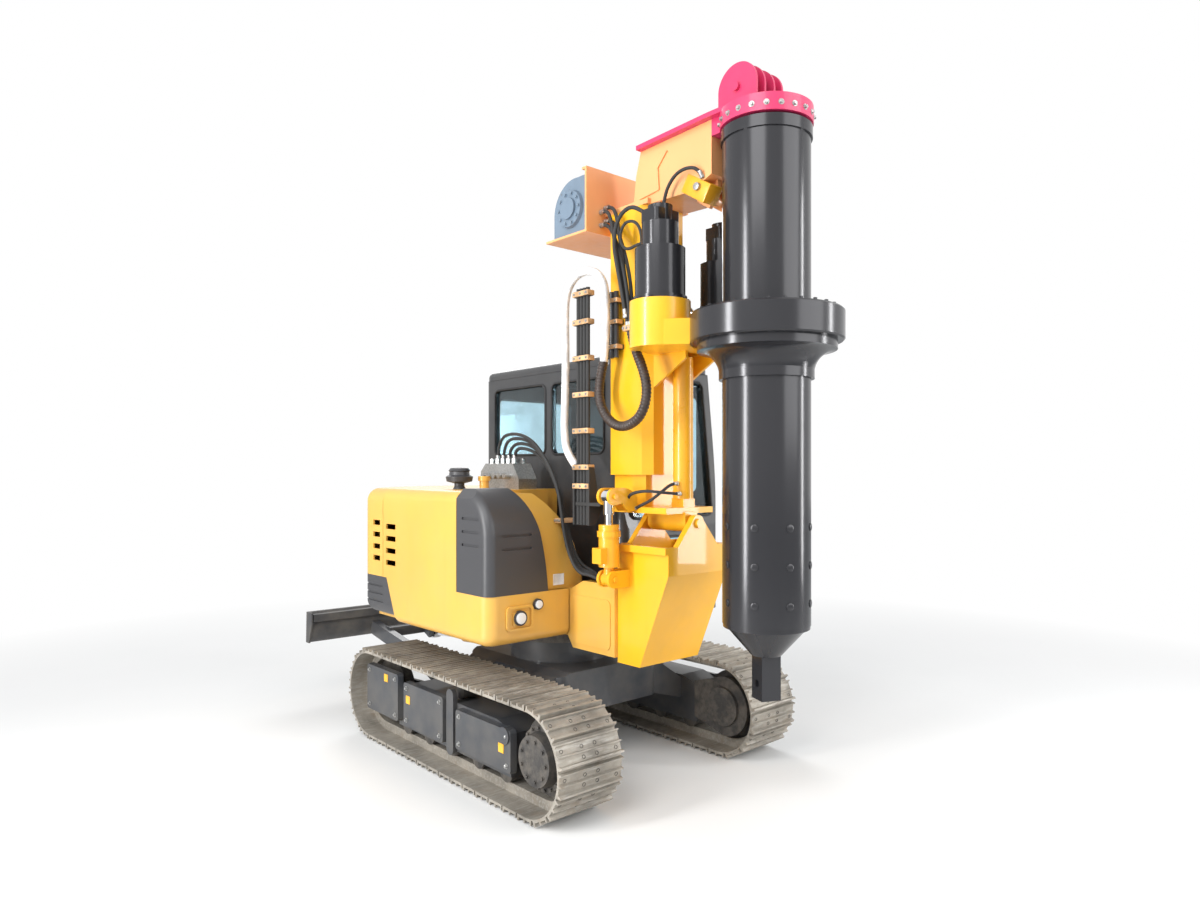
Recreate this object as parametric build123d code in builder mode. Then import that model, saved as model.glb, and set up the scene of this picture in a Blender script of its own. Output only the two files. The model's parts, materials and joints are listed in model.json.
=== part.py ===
"""A compact rotary drilling rig on a six-tonne tracked carrier.

The origin is on the ground under the slewing axis. +Z is up, the machine's front is -Y and
its left side is +X. All sizes are in millimetres.
"""

import math
import os

from build123d import *

os.makedirs("parts", exist_ok=True)

# Clearances: pieces that seat and turn, sliding guides, and cuts that run past a face
running = 0.3
pin_fit = 0.05
past = 10

# Tracks
track_gauge = 1550
shoe_width = 430
track_length = 2480
track_height = 630
shoe_count = 40
grouser = 20
shoe_plate = 14
shoe_gap = 10
chain_depth = 58
chain_width = 150

# Wheels in the tracks
wheel_half = 34
roller_radius = 65
roller_half = 95
roller_spacing = 290
carrier_radius = 45

# Side frames and carbody
frame_width = 230
frame_top = 445
frame_low = 225
cover_depth = 40
carbody_low = 300
carbody_top = 620
carbody_half = 430
leg_width = 230
ring_radius = 370
ring_split = 755

# Blade at the rear
blade_half = 940
blade_low = 475
blade_high = 725
blade_pivot_y = 1030
blade_pivot_z = 360
blade_arm_x = 380
blade_arm_width = 60
lug_plate = 26
blade_pin = 25

# Upper structure
deck_low = 830
deck_plate = 70
upper_half = 900
upper_front = -430
tail_reach = 1650
tail_corner = 1130
corner_round = 110
skirt_top = 1130
skirt_seam = 834
seam_slant = 150
seam_gap = 2
skirt_round = 55
sheet = 12
hood_top = 1750
hood_front = -90
hood_inner = -25
hood_round = 70
bonnet_seam = 885
edge_round = 90
moving_gap = 6
louvre_length = 140
louvre_width = 36
louvre_rows = (1236, 1319, 1403, 1487)
louvre_front = -118
louvre_rear = 95

# Front cover, tank and bracket beams
cover_right = -450
cover_top = 1765
tank_right = -145
bracket_half = 275
bracket_reach = 850
bracket_low = 760
bracket_top = 1130
bracket_rise = 60
beam_width = 60
beam_panel = (380, 300)

# Cab
cab_right = 5
cab_left = 945
cab_front = -620
cab_rear = 960
cab_roof = 2637
roof_depth = 68
cab_wall = 45
cab_corner = 60
cab_floor = 60
screen_foot = 1500
screen_lean = 110
door_rear = 390
door_front = -510
door_low = 975
door_high = 2495
door_gap = 8
door_depth = 30
hinge_x = 962
hinge_y = 392
hinge_rows = (1150, 1500, 2250)
bonnet_tube = 12
bonnet_pin = 6
bonnet_pin_height = 150

# Mast base and pivot
pivot_height = 1568
pivot_pin = 28
pivot_round = 50
base_half = 250
base_front = -1270
base_foot = -1040
base_low = 730
base_top = pivot_height - 128
base_band = 160
base_wall = 18
pivot_lug = 40

# Mast column and sleeve
collar_low = pivot_height + pivot_round + 7
collar_plate = 35
column_half = 140
column_mid = -842
column_deep = 137
column_wall = 15
column_top = 3250
pad_reach = 140
sleeve_half = 175
sleeve_deep = 187
sleeve_low = 1850
sleeve_top = 3450
sleeve_chamfer = 50
slide_gap = 7

# Tilt cylinder and feed cylinder
tilt_x = -370
tilt_y = -905
tilt_low = pivot_height - 325
tilt_high = pivot_height + 156
tilt_radius = 60
tilt_rod_radius = 24
tilt_pin = 16
tilt_lug = 50
tilt_cheek = 44
tilt_eye = 40
tilt_eye_play = 2
feed_y = -1150
feed_radius = 59
feed_rod_radius = 32
feed_barrel_top = 2540
feed_eye = 2800
feed_pin = 22

# Rotary drive
kelly_y = -1755
housing_radius = 408
housing_low = 2558
housing_depth = 162
flare_depth = 150
drum_x = 270
drum_y = -1225
drum_radius = 172
drum_top = 2820

# Head, sheave and winch
head_rear = -880
head_front = -1500
head_low = 3345
head_half = 150
cap_low = 3705
cap_depth = 90
cap_radius = 247
cap_plate = 26
sheave_y = -1650
sheave_rise = 109
sheave_guard = 130
sheave_plate = 14
sheave_radius = 78
sheave_pin = 22
sheave_spots = (-110, -40, 40, 110)
shelf_low = 3335
shelf_reach = -255
winch_half = 280
winch_wall = 330
winch_plate = 14
winch_y = -450
winch_z = 3525
winch_top = 3720
drum_core = 66
drum_axle = 24
flange_radius = 150

# Kelly: telescoping tubes and the square stub
tube_radius = 234
tube_low = 1059
tube_top = 3690
tube_wall = 15
tube_gap = 7
tube_step = 60
collar_height = 80
rim_height = 60
stub_width = 112
stub_low = 654
stub_top = 890
cone_top = 1040
cone_radius = 214
stub_turn = -24
tool_bore = 20

# The raised blade stands as far out behind as the gear housing does in front
rear_reach = housing_radius - kelly_y

track_x = track_gauge / 2
wheel_z = track_height / 2
wheel_y = track_length / 2 - wheel_z
plate_radius = wheel_z - grouser
link_radius = plate_radius - shoe_plate
chain_radius = link_radius - chain_depth
wheel_radius = chain_radius - 0.5
deck_top = deck_low + deck_plate
frame_face = track_x + frame_width / 2
housing_top = housing_low + housing_depth
deck_inset = edge_round + 5
bonnet_behind_cab = cab_rear + 25
bonnet_hinge = (upper_half - sheet - 10, bonnet_behind_cab + 15)
tube_2 = tube_radius - tube_wall - tube_gap
tube_3 = tube_2 - tube_wall - tube_gap
tube_4 = tube_3 - tube_wall - tube_gap
sleeve_front = column_mid - sleeve_deep
sleeve_rear = column_mid + sleeve_deep
cap_top = cap_low + cap_depth
head_slope = cap_top - 18
sheave_z = cap_top + cap_plate + sheave_rise


def flat(*points):
    """A straight-edged face, given by its corners."""
    with BuildSketch() as face:
        with BuildLine():
            Polyline(*points, close=True)
        make_face()
    return face.sketch


def tail_outline(inset, front):
    """Plan outline of the rounded tail, from a front line back, set in from the skin."""
    half = upper_half - inset
    with BuildSketch() as plan:
        with BuildLine():
            Polyline((-half, tail_corner), (-half, front), (half, front), (half, tail_corner))
            ThreePointArc((half, tail_corner), (0, tail_reach - inset), (-half, tail_corner))
        make_face()
        fillet(plan.vertices().group_by(Axis.Y)[-1], max(corner_round - inset, sheet))
    return plan.sketch


def loop_frame(distance, radius):
    """A point on the track's loop and the angle of its outward direction from +Y."""
    straight = 2 * wheel_y
    bend = math.pi * radius
    d = distance % (2 * straight + 2 * bend)
    if d < straight:
        return (-wheel_y + d, wheel_z + radius, 90)
    d -= straight
    if d < bend:
        angle = 90 - math.degrees(d / radius)
        middle = wheel_y
    elif d < bend + straight:
        return (wheel_y - (d - bend), wheel_z - radius, -90)
    else:
        angle = -90 - math.degrees((d - bend - straight) / radius)
        middle = -wheel_y
    out = Vector(radius, 0).rotate(Axis.Z, angle)
    return (middle + out.X, wheel_z + out.Y, angle)


# Outline of all shoes: each is a flat plate with three ribs, hung between two link pins
loop_length = 4 * wheel_y + 2 * math.pi * link_radius
shoe_pitch = loop_length / shoe_count
shoe_half = shoe_pitch / 2 - shoe_gap / 2
rib_top = shoe_plate + grouser
shoe_profile = (
    (-shoe_half, 0),
    (-shoe_half, rib_top),
    (-shoe_half + 12, rib_top),
    (-shoe_half + 18, shoe_plate),
    (-7, shoe_plate),
    (-4, rib_top - 3),
    (4, rib_top - 3),
    (7, shoe_plate),
    (shoe_half - 12, shoe_plate),
    (shoe_half - 8, rib_top - 6),
    (shoe_half, rib_top - 6),
    (shoe_half, 0),
)
shoe_outline = []
for index in range(shoe_count):
    y, z, angle = loop_frame((index + 0.5) * shoe_pitch, link_radius)
    for along, out in shoe_profile:
        corner = Vector(out, -along).rotate(Axis.Z, angle)
        shoe_outline.append((y + corner.X, z + corner.Y))

# Tracks: shoes across the full width, links in a narrower band inside them
with BuildPart() as tracks:
    for side in (-1, 1):
        with BuildSketch(Plane.YZ.offset(side * track_x)):
            add(flat(*shoe_outline))
            with Locations((0, wheel_z)):
                SlotCenterToCenter(2 * wheel_y, 2 * link_radius - 2, mode=Mode.SUBTRACT)
        extrude(amount=shoe_width / 2, both=True)
        with BuildSketch(Plane.YZ.offset(side * track_x)):
            with Locations((0, wheel_z)):
                SlotCenterToCenter(2 * wheel_y, 2 * link_radius)
                SlotCenterToCenter(2 * wheel_y, 2 * chain_radius, mode=Mode.SUBTRACT)
        extrude(amount=chain_width / 2, both=True)
tracks.part.label = "tracks"
export_step(tracks.part, "parts/tracks.step")

# Wheels inside each loop: radius, half width, distance from the middle, height
roller_z = wheel_z - chain_radius + roller_radius + 0.5
carrier_z = wheel_z + chain_radius - carrier_radius - 0.5
wheel_table = [(wheel_radius, wheel_half, side * wheel_y, wheel_z) for side in (-1, 1)]
wheel_table += [
    (roller_radius, roller_half, step * roller_spacing, roller_z) for step in range(-2, 3)
]
wheel_table += [(carrier_radius, 60, -30, carrier_z)]
with BuildPart() as track_wheels:
    for side in (-1, 1):
        for radius, half, y, z in wheel_table:
            with BuildSketch(Plane.YZ.offset(side * track_x)):
                with Locations((y, z)):
                    Circle(radius)
            extrude(amount=half, both=True)
track_wheels.part.label = "track_wheels"
export_step(track_wheels.part, "parts/track_wheels.step")

# Covers on the outer face of each side frame: front and rear end, low and high edge
frame_covers = (
    (-716, -127, 180, 430),
    (14, 530, 175, 470),
    (600, 1070, 175, 500),
)
idler_fork = wheel_half + 54
with BuildPart() as track_frames:
    for side in (-1, 1):
        # Box beam over the rollers
        with BuildSketch(Plane.YZ.offset(side * track_x)):
            add(
                flat(
                    (-wheel_y + 240, frame_low),
                    (-wheel_y + 240, frame_top - 45),
                    (-wheel_y + 405, frame_top),
                    (wheel_y - 405, frame_top),
                    (wheel_y - 245, frame_top - 45),
                    (wheel_y - 245, frame_low),
                )
            )
        extrude(amount=frame_width / 2, both=True)
        for cheek in (-1, 1):
            # Fork plate and axle boss on each side of the idler
            with BuildSketch(Plane.YZ.offset(side * track_x + cheek * idler_fork)):
                add(
                    flat(
                        (wheel_y - 250, wheel_z - 70),
                        (wheel_y - 250, wheel_z + 80),
                        (wheel_y + 60, wheel_z + 60),
                        (wheel_y + 110, wheel_z),
                        (wheel_y + 60, wheel_z - 60),
                    )
                )
            extrude(amount=14, both=True)
            with BuildSketch(Plane.YZ.offset(side * track_x + cheek * (wheel_half + 0.25))):
                with Locations((wheel_y, wheel_z)):
                    Circle(40)
            extrude(amount=cheek * (idler_fork - wheel_half))
            # Plate that carries the rollers' axle ends
            with BuildSketch(Plane.YZ.offset(side * track_x + cheek * (roller_half + 0.5))):
                with Locations((0, (roller_z - 12 + frame_low) / 2)):
                    Rectangle(4 * roller_spacing + 160, frame_low - roller_z + 12)
            extrude(amount=cheek * 19)
        # Pressed covers, a guard strap with its eye, and a round boss
        for rear, front, low, high in frame_covers:
            with BuildSketch(Plane.YZ.offset(side * frame_face)) as cover:
                with Locations(((rear + front) / 2, (low + high) / 2)):
                    Rectangle(front - rear, high - low)
                fillet(cover.vertices(), 25)
            extrude(amount=side * cover_depth, taper=8)
        with BuildSketch(Plane.YZ.offset(side * frame_face)):
            with Locations((-48, (roller_z + carrier_z) / 2)):
                SlotOverall(carrier_z - roller_z + 70, 80, rotation=90)
        extrude(amount=side * 30)
        with BuildSketch(Plane.YZ.offset(side * frame_face)):
            with Locations((-wheel_y + 270, frame_top - 55)):
                Circle(48)
        extrude(amount=side * (cover_depth + 10))
track_frames.part.label = "track_frames"
export_step(track_frames.part, "parts/track_frames.step")

# Final drives at the front ends: hub disc outside, motor and cover plate inside
with BuildPart() as final_drives:
    for side in (-1, 1):
        with BuildSketch(Plane.YZ.offset(side * (track_x + wheel_half))):
            with Locations((-wheel_y, wheel_z)):
                Circle(178)
        extrude(amount=side * 62)
        with BuildSketch(Plane.YZ.offset(side * (track_x + wheel_half + 62))):
            with Locations((-wheel_y, wheel_z)):
                Circle(150)
        extrude(amount=side * 60, taper=12)
        with BuildSketch(Plane.YZ.offset(side * (track_x - wheel_half))):
            with Locations((-wheel_y, wheel_z)):
                Circle(125)
        extrude(amount=-side * 130)
        # Round-nosed cover plate on the inner side, joined to the frame's end
        with BuildSketch(Plane.YZ.offset(side * (track_x - frame_width / 2 - 1))):
            with BuildLine():
                Polyline(
                    (-wheel_y, wheel_z - 195),
                    (-wheel_y + 260, wheel_z - 120),
                    (-wheel_y + 260, wheel_z + 120),
                    (-wheel_y, wheel_z + 195),
                )
                ThreePointArc(
                    (-wheel_y, wheel_z + 195),
                    (-wheel_y - 195, wheel_z),
                    (-wheel_y, wheel_z - 195),
                )
            make_face()
        extrude(amount=-side * 25)
final_drives.part.label = "final_drives"
export_step(final_drives.part, "parts/final_drives.step")

# Carbody: a centre box on four sloping legs, cut from one profile and one plan
beam_inner = track_x - frame_width / 2
with BuildPart() as carbody:
    with BuildSketch(Plane.XZ.offset(-600)):
        add(
            flat(
                (-beam_inner, frame_low + 60),
                (-beam_inner, frame_top - 20),
                (-carbody_half, carbody_top - 30),
                (-ring_radius + 20, carbody_top),
                (ring_radius - 20, carbody_top),
                (carbody_half, carbody_top - 30),
                (beam_inner, frame_top - 20),
                (beam_inner, frame_low + 60),
                (carbody_half - 40, carbody_low + 60),
                (-carbody_half + 40, carbody_low + 60),
            )
        )
    extrude(amount=1200)
    with BuildSketch(Plane.XY.offset(carbody_low - past)):
        RectangleRounded(2 * carbody_half, 1060, 90)
        for side in (-1, 1):
            for end in (-1, 1):
                inner = end * 130
                outer = end * 520
                add(
                    flat(
                        (side * (carbody_half - 60), inner),
                        (side * beam_inner, outer - end * leg_width),
                        (side * beam_inner, outer),
                        (side * (carbody_half - 60), outer - end * 60),
                    )
                )
    extrude(amount=carbody_top - carbody_low + 2 * past, mode=Mode.INTERSECT)
    # Bearing seat and the fixed race of the slewing ring
    with BuildSketch(Plane.XY.offset(carbody_top)):
        Circle(ring_radius - 20)
    extrude(amount=ring_split - 65 - carbody_top)
    with BuildSketch(Plane.XY.offset(ring_split - 65)):
        Circle(ring_radius)
    extrude(amount=65 - running)
    # Pairs of lugs for the blade's arms
    for arm in (-blade_arm_x, blade_arm_x):
        for side in (-1, 1):
            lug_inner = arm + side * (blade_arm_width / 2 + 5)
            with BuildSketch(Plane.YZ.offset(lug_inner)):
                add(
                    flat(
                        (480, blade_pivot_z + 10),
                        (480, blade_pivot_z + 130),
                        (blade_pivot_y, blade_pivot_z + 60),
                        (blade_pivot_y + 52, blade_pivot_z + 28),
                        (blade_pivot_y + 52, blade_pivot_z - 38),
                        (blade_pivot_y, blade_pivot_z - 60),
                    )
                )
                with Locations((blade_pivot_y, blade_pivot_z)):
                    Circle(blade_pin + pin_fit, mode=Mode.SUBTRACT)
            extrude(amount=side * lug_plate)
    # Pair of lugs for the foot of the blade cylinder
    for side in (-1, 1):
        with BuildSketch(Plane.YZ.offset(side * 38)):
            add(flat((520, 500), (520, 620), (640, 640), (690, 588), (640, 530)))
            with Locations((630, 588)):
                Circle(20 + pin_fit, mode=Mode.SUBTRACT)
        extrude(amount=side * 24)
carbody.part.label = "carbody"
export_step(carbody.part, "parts/carbody.step")

# Section of the mouldboard, curved in front and behind, with a cutting edge below
blade_middle = (blade_low + blade_high) / 2
with BuildSketch() as mouldboard:
    with BuildLine():
        ThreePointArc(
            (rear_reach, blade_low),
            (rear_reach - 70, blade_middle),
            (rear_reach - 10, blade_high),
        )
        Line((rear_reach - 10, blade_high), (rear_reach - 40, blade_high))
        ThreePointArc(
            (rear_reach - 40, blade_high),
            (rear_reach - 92, blade_middle),
            (rear_reach - 26, blade_low),
        )
        Line((rear_reach - 26, blade_low), (rear_reach, blade_low))
    make_face()
with BuildPart() as dozer_blade:
    with BuildSketch(Plane.YZ):
        add(mouldboard.sketch)
    extrude(amount=blade_half, both=True)
    # Back rail along the top, and end plates
    with BuildSketch(Plane.YZ):
        with Locations((rear_reach - 80, blade_high - 45)):
            Rectangle(70, 60)
        add(mouldboard.sketch, mode=Mode.SUBTRACT)
    extrude(amount=blade_half - 20, both=True)
    for side in (-1, 1):
        with BuildSketch(Plane.YZ.offset(side * blade_half)):
            add(
                flat(
                    (rear_reach, blade_low),
                    (rear_reach - 10, blade_high),
                    (rear_reach - 115, blade_high),
                    (rear_reach - 115, blade_high - 90),
                    (rear_reach - 60, blade_low),
                )
            )
        extrude(amount=-side * 12)
dozer_blade.part.label = "dozer_blade"
export_step(dozer_blade.part, "parts/dozer_blade.step")

# Push arms: two beams, the cross tube between them, and the ears of the cylinder's rod
arm_end = rear_reach - 75
arm_low = blade_low + 15
arm_high = blade_middle
cross_y = rear_reach - 320
rod_eye_y = rear_reach - 440
rod_eye_z = blade_low + 28
with BuildPart() as blade_arms:
    for x in (-blade_arm_x, blade_arm_x):
        with BuildSketch(Plane.YZ.offset(x)):
            add(
                flat(
                    (blade_pivot_y - 50, blade_pivot_z - 45),
                    (blade_pivot_y - 50, blade_pivot_z + 45),
                    (blade_pivot_y + 60, blade_pivot_z + 80),
                    (arm_end, arm_high),
                    (arm_end, arm_low),
                    (blade_pivot_y + 200, blade_pivot_z - 20),
                    (blade_pivot_y + 60, blade_pivot_z - 60),
                )
            )
            add(mouldboard.sketch, mode=Mode.SUBTRACT)
        extrude(amount=blade_arm_width / 2, both=True)
        with BuildSketch(Plane.YZ.offset(x)):
            with Locations((blade_pivot_y, blade_pivot_z)):
                Circle(blade_pin)
        extrude(amount=blade_arm_width / 2 + lug_plate + 15, both=True)
    with BuildSketch(Plane.YZ):
        with Locations((cross_y, rod_eye_z + 30)):
            RectangleRounded(90, 84, 20)
    extrude(amount=blade_arm_x, both=True)
    for side in (-1, 1):
        with BuildSketch(Plane.YZ.offset(side * 38)):
            add(
                flat(
                    (cross_y - 40, rod_eye_z - 8),
                    (cross_y - 40, rod_eye_z + 66),
                    (rod_eye_y, rod_eye_z + 42),
                    (rod_eye_y - 42, rod_eye_z),
                    (rod_eye_y, rod_eye_z - 42),
                )
            )
        extrude(amount=side * 24)
    with BuildSketch(Plane.YZ):
        with Locations((rod_eye_y, rod_eye_z)):
            Circle(20)
    extrude(amount=66, both=True)
blade_arms.part.label = "blade_arms"
export_step(blade_arms.part, "parts/blade_arms.step")

# Blade cylinder, from its foot on the carbody to the arms' ears
foot = Vector(0, 630, 588)
eye = Vector(0, rod_eye_y, rod_eye_z)
cylinder_length = (eye - foot).length
cylinder_plane = Plane(origin=foot, x_dir=(1, 0, 0), z_dir=(eye - foot).normalized())
blade_rod_radius = 26
blade_eye_play = 13
blade_barrel_end = cylinder_length * 0.56
with BuildPart() as blade_cylinder_barrel:
    with BuildSketch(cylinder_plane):
        Circle(30)
    extrude(amount=85)
    with BuildSketch(cylinder_plane.offset(80)):
        Circle(48)
    extrude(amount=blade_barrel_end - 80)
    with BuildSketch(cylinder_plane.offset(120)):
        Circle(blade_rod_radius + 0.1)
    extrude(amount=blade_barrel_end - 120 + past, mode=Mode.SUBTRACT)
    with BuildSketch(Plane.YZ):
        with Locations((foot.Y, foot.Z)):
            Circle(42)
    extrude(amount=32, both=True)
    with BuildSketch(Plane.YZ):
        with Locations((foot.Y, foot.Z)):
            Circle(20)
    extrude(amount=66, both=True)
blade_cylinder_barrel.part.label = "blade_cylinder_barrel"
export_step(blade_cylinder_barrel.part, "parts/blade_cylinder_barrel.step")

with BuildPart() as blade_cylinder_rod:
    with BuildSketch(cylinder_plane.offset(cylinder_length * 0.47)):
        Circle(blade_rod_radius)
    extrude(amount=cylinder_length * 0.53 - 42)
    with BuildSketch(Plane.YZ):
        with Locations((eye.Y, eye.Z)):
            Circle(50)
    extrude(amount=32, both=True)
    with BuildSketch(Plane.YZ):
        with Locations((eye.Y, eye.Z)):
            Circle(20 + blade_eye_play)
    extrude(amount=36, both=True, mode=Mode.SUBTRACT)
blade_cylinder_rod.part.label = "blade_cylinder_rod"
export_step(blade_cylinder_rod.part, "parts/blade_cylinder_rod.step")

# Turning race of the slewing ring
with BuildPart() as slew_ring:
    with BuildSketch(Plane.XY.offset(ring_split)):
        Circle(ring_radius + 10)
        Circle(ring_radius - 60, mode=Mode.SUBTRACT)
    extrude(amount=deck_low - ring_split)
slew_ring.part.label = "slew_ring"
export_step(slew_ring.part, "parts/slew_ring.step")

# Deck: floor plate of the upper structure, with the two bracket beams and their front box
deck_front = upper_front + deck_inset
left_beam_front = cab_front - 20
with BuildPart() as deck:
    with BuildSketch(Plane.XY.offset(deck_low)) as deck_plan:
        add(tail_outline(deck_inset, deck_front))
    extrude(amount=deck_plate)
    # The left beam stays under the cab's floor until it is in front of the cab
    beam_tops = (
        (
            -1,
            (-bracket_reach, bracket_top + bracket_rise),
            (upper_front - 130, bracket_top + bracket_rise),
            (upper_front - 10, bracket_top),
            (hood_front, bracket_top),
            (hood_front, deck_low),
        ),
        (1, (left_beam_front, bracket_top), (left_beam_front, deck_top), (hood_front, deck_top)),
    )
    for side, *top_points in beam_tops:
        with BuildSketch(Plane.YZ.offset(side * bracket_half)):
            add(
                flat(
                    (hood_front, deck_low),
                    (upper_front + 20, deck_low),
                    (upper_front - 30, bracket_low),
                    (-bracket_reach, bracket_low),
                    (-bracket_reach, bracket_top),
                    *top_points,
                )
            )
        extrude(amount=-side * beam_width)
    # Raised cover panel on the right beam's outer face
    with BuildSketch(Plane.YZ.offset(-bracket_half)):
        with Locations(((upper_front - bracket_reach) / 2 + 15, (bracket_low + bracket_top) / 2)):
            RectangleRounded(*beam_panel, 35)
    extrude(amount=-6)
    front_box = 2 * bracket_half - 2 * beam_width
    with BuildSketch(Plane.XZ.offset(bracket_reach - 40)):
        with Locations((0, (bracket_low + bracket_top) / 2)):
            Rectangle(front_box, bracket_top - bracket_low)
    extrude(amount=40)
    with BuildSketch(Plane.XY.offset(bracket_low)):
        with Locations((0, (upper_front - bracket_reach) / 2)):
            Rectangle(front_box, bracket_reach + upper_front)
    extrude(amount=20)
deck.part.label = "deck"
export_step(deck.part, "parts/deck.step")

# Counterweight: the dark rear shell, with three grooves round it
weight_low = deck_low + 25
groove_height = 14
with BuildPart() as counterweight_core:
    with BuildSketch(Plane.XY.offset(weight_low - past)):
        add(tail_outline(deck_inset, skirt_seam - 2 * seam_slant))
    extrude(amount=deck_top - weight_low + past)
with BuildPart() as counterweight:
    with BuildSketch(Plane.XY.offset(weight_low)):
        add(tail_outline(0, skirt_seam - seam_slant - past))
    extrude(amount=skirt_top - weight_low)
    fillet(counterweight.edges().group_by(Axis.Z)[0].sort_by(Axis.Y)[1:], edge_round)
    # The bay for the engine, and the seat on the deck
    with BuildSketch(Plane.XY.offset(deck_top)):
        add(tail_outline(110, skirt_seam - seam_slant - 2 * past))
    extrude(amount=skirt_top - deck_top + past, mode=Mode.SUBTRACT)
    add(counterweight_core.part, mode=Mode.SUBTRACT)
    # Slanted seam towards the skirt, and room for the cab
    with BuildSketch(Plane.YZ.offset(-upper_half - past)):
        add(
            flat(
                (skirt_seam - 2 * seam_slant, deck_low - past),
                (skirt_seam - 2 * seam_slant, skirt_top + past),
                (skirt_seam + seam_gap, skirt_top + past),
                (skirt_seam - seam_slant + seam_gap, deck_low - past),
            )
        )
    extrude(amount=2 * upper_half + 2 * past, mode=Mode.SUBTRACT)
    with BuildSketch(Plane.XY.offset(deck_top)):
        with Locations(((hood_inner + upper_half) / 2, bonnet_behind_cab / 2)):
            Rectangle(upper_half - hood_inner + 2 * past, bonnet_behind_cab)
    extrude(amount=skirt_top, mode=Mode.SUBTRACT)
    for step in range(3):
        with BuildSketch(Plane.XY.offset(weight_low + 90 + step * 55)):
            add(tail_outline(-past, bonnet_seam))
            add(tail_outline(8, bonnet_seam - past), mode=Mode.SUBTRACT)
        extrude(amount=groove_height, mode=Mode.SUBTRACT)
    # Hinge pin of the bonnet
    with BuildSketch(Plane.XY.offset(skirt_top - past)):
        with Locations(bonnet_hinge):
            Circle(bonnet_pin)
    extrude(amount=bonnet_pin_height + past)
counterweight.part.label = "counterweight"
export_step(counterweight.part, "parts/counterweight.step")

# Rear bonnet: a hollow hinged shell over the engine, with slots at the right rear corner
bonnet_low = skirt_top + running
with BuildPart() as rear_bonnet:
    with BuildSketch(Plane.XY.offset(bonnet_low)):
        add(tail_outline(0, bonnet_seam))
    extrude(amount=hood_top - bonnet_low)
    fillet(rear_bonnet.edges().group_by(Axis.Z)[-1].sort_by(Axis.Y)[1:], edge_round)
    with BuildSketch(Plane.XY.offset(bonnet_low - past)):
        add(tail_outline(sheet, bonnet_seam - past))
    extrude(amount=hood_top - edge_round - bonnet_low + past, mode=Mode.SUBTRACT)
    with BuildSketch(Plane.XY.offset(hood_top - edge_round)):
        add(tail_outline(edge_round, bonnet_seam - past))
    extrude(amount=edge_round - sheet, mode=Mode.SUBTRACT)
    # Room for the cab
    with BuildSketch(Plane.XY.offset(bonnet_low - past)):
        with Locations(((hood_inner + upper_half) / 2, bonnet_behind_cab / 2)):
            Rectangle(upper_half - hood_inner + 2 * past, bonnet_behind_cab)
    extrude(amount=hood_top - bonnet_low + 2 * past, mode=Mode.SUBTRACT)
    with BuildSketch(Plane.YZ.offset(-upper_half - past)):
        for z in louvre_rows:
            with Locations((bonnet_seam + louvre_rear, z + 20)):
                Rectangle(louvre_length - 35, louvre_width)
    extrude(amount=sheet + 2 * past, mode=Mode.SUBTRACT)
    # Hinge tube in the left front corner, over its pin
    with BuildSketch(Plane.XY.offset(bonnet_low)):
        with Locations(bonnet_hinge):
            Circle(bonnet_tube)
    extrude(amount=hood_top - edge_round - bonnet_low)
    with BuildSketch(Plane.XY.offset(bonnet_low)):
        with Locations(bonnet_hinge):
            Circle(bonnet_pin + pin_fit)
    extrude(amount=bonnet_pin_height, mode=Mode.SUBTRACT)
rear_bonnet.part.label = "rear_bonnet"
export_step(rear_bonnet.part, "parts/rear_bonnet.step")

# Hood over the right side, with slots, the filler neck and the seat of the pre-cleaner
hood_rear = bonnet_seam - moving_gap
bay_rear = 20
bay_right = -187
cleaner_spot = (-600, 360)
filler_spot = (-450, 285)
with BuildPart() as hood:
    with BuildSketch(Plane.XZ.offset(-hood_front)) as hood_section:
        with Locations(((hood_inner - upper_half) / 2, (skirt_top + hood_top) / 2)):
            Rectangle(upper_half + hood_inner, hood_top - skirt_top)
        fillet(hood_section.vertices().group_by(Axis.Y)[-1].sort_by(Axis.X)[0], hood_round)
    extrude(amount=-(hood_rear - hood_front))
    # Hollow inside, with a narrower front that leaves a bay beside the cab
    for inside_left, inside_front in ((bay_right, hood_front), (hood_inner, bay_rear)):
        with BuildSketch(Plane.XZ.offset(-inside_front - sheet)) as hood_inside:
            with Locations(((inside_left - upper_half) / 2, (skirt_top + hood_top) / 2 - sheet)):
                Rectangle(upper_half + inside_left - 2 * sheet, hood_top - skirt_top)
            fillet(
                hood_inside.vertices().group_by(Axis.Y)[-1].sort_by(Axis.X)[0], hood_round - sheet
            )
        extrude(amount=-(hood_rear - inside_front), mode=Mode.SUBTRACT)
    with BuildSketch(Plane.XY.offset(skirt_top - past)):
        with Locations(((bay_right + hood_inner) / 2 + past, (hood_front + bay_rear) / 2 - past)):
            Rectangle(hood_inner - bay_right + 2 * past, bay_rear - hood_front + 2 * past)
    extrude(amount=hood_top - skirt_top + 2 * past, mode=Mode.SUBTRACT)
    with BuildSketch(Plane.YZ.offset(-upper_half - past)):
        for z in louvre_rows:
            with Locations((bonnet_seam + louvre_front, z)):
                Rectangle(louvre_length, louvre_width)
    extrude(amount=sheet + 2 * past, mode=Mode.SUBTRACT)
    with BuildSketch(Plane.XY.offset(hood_top)):
        with Locations(filler_spot):
            Circle(32)
    extrude(amount=55)
    with BuildSketch(Plane.XY.offset(hood_top + 55)):
        with Locations(filler_spot):
            Circle(42)
    extrude(amount=32)
hood.part.label = "hood"
export_step(hood.part, "parts/hood.step")

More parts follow.
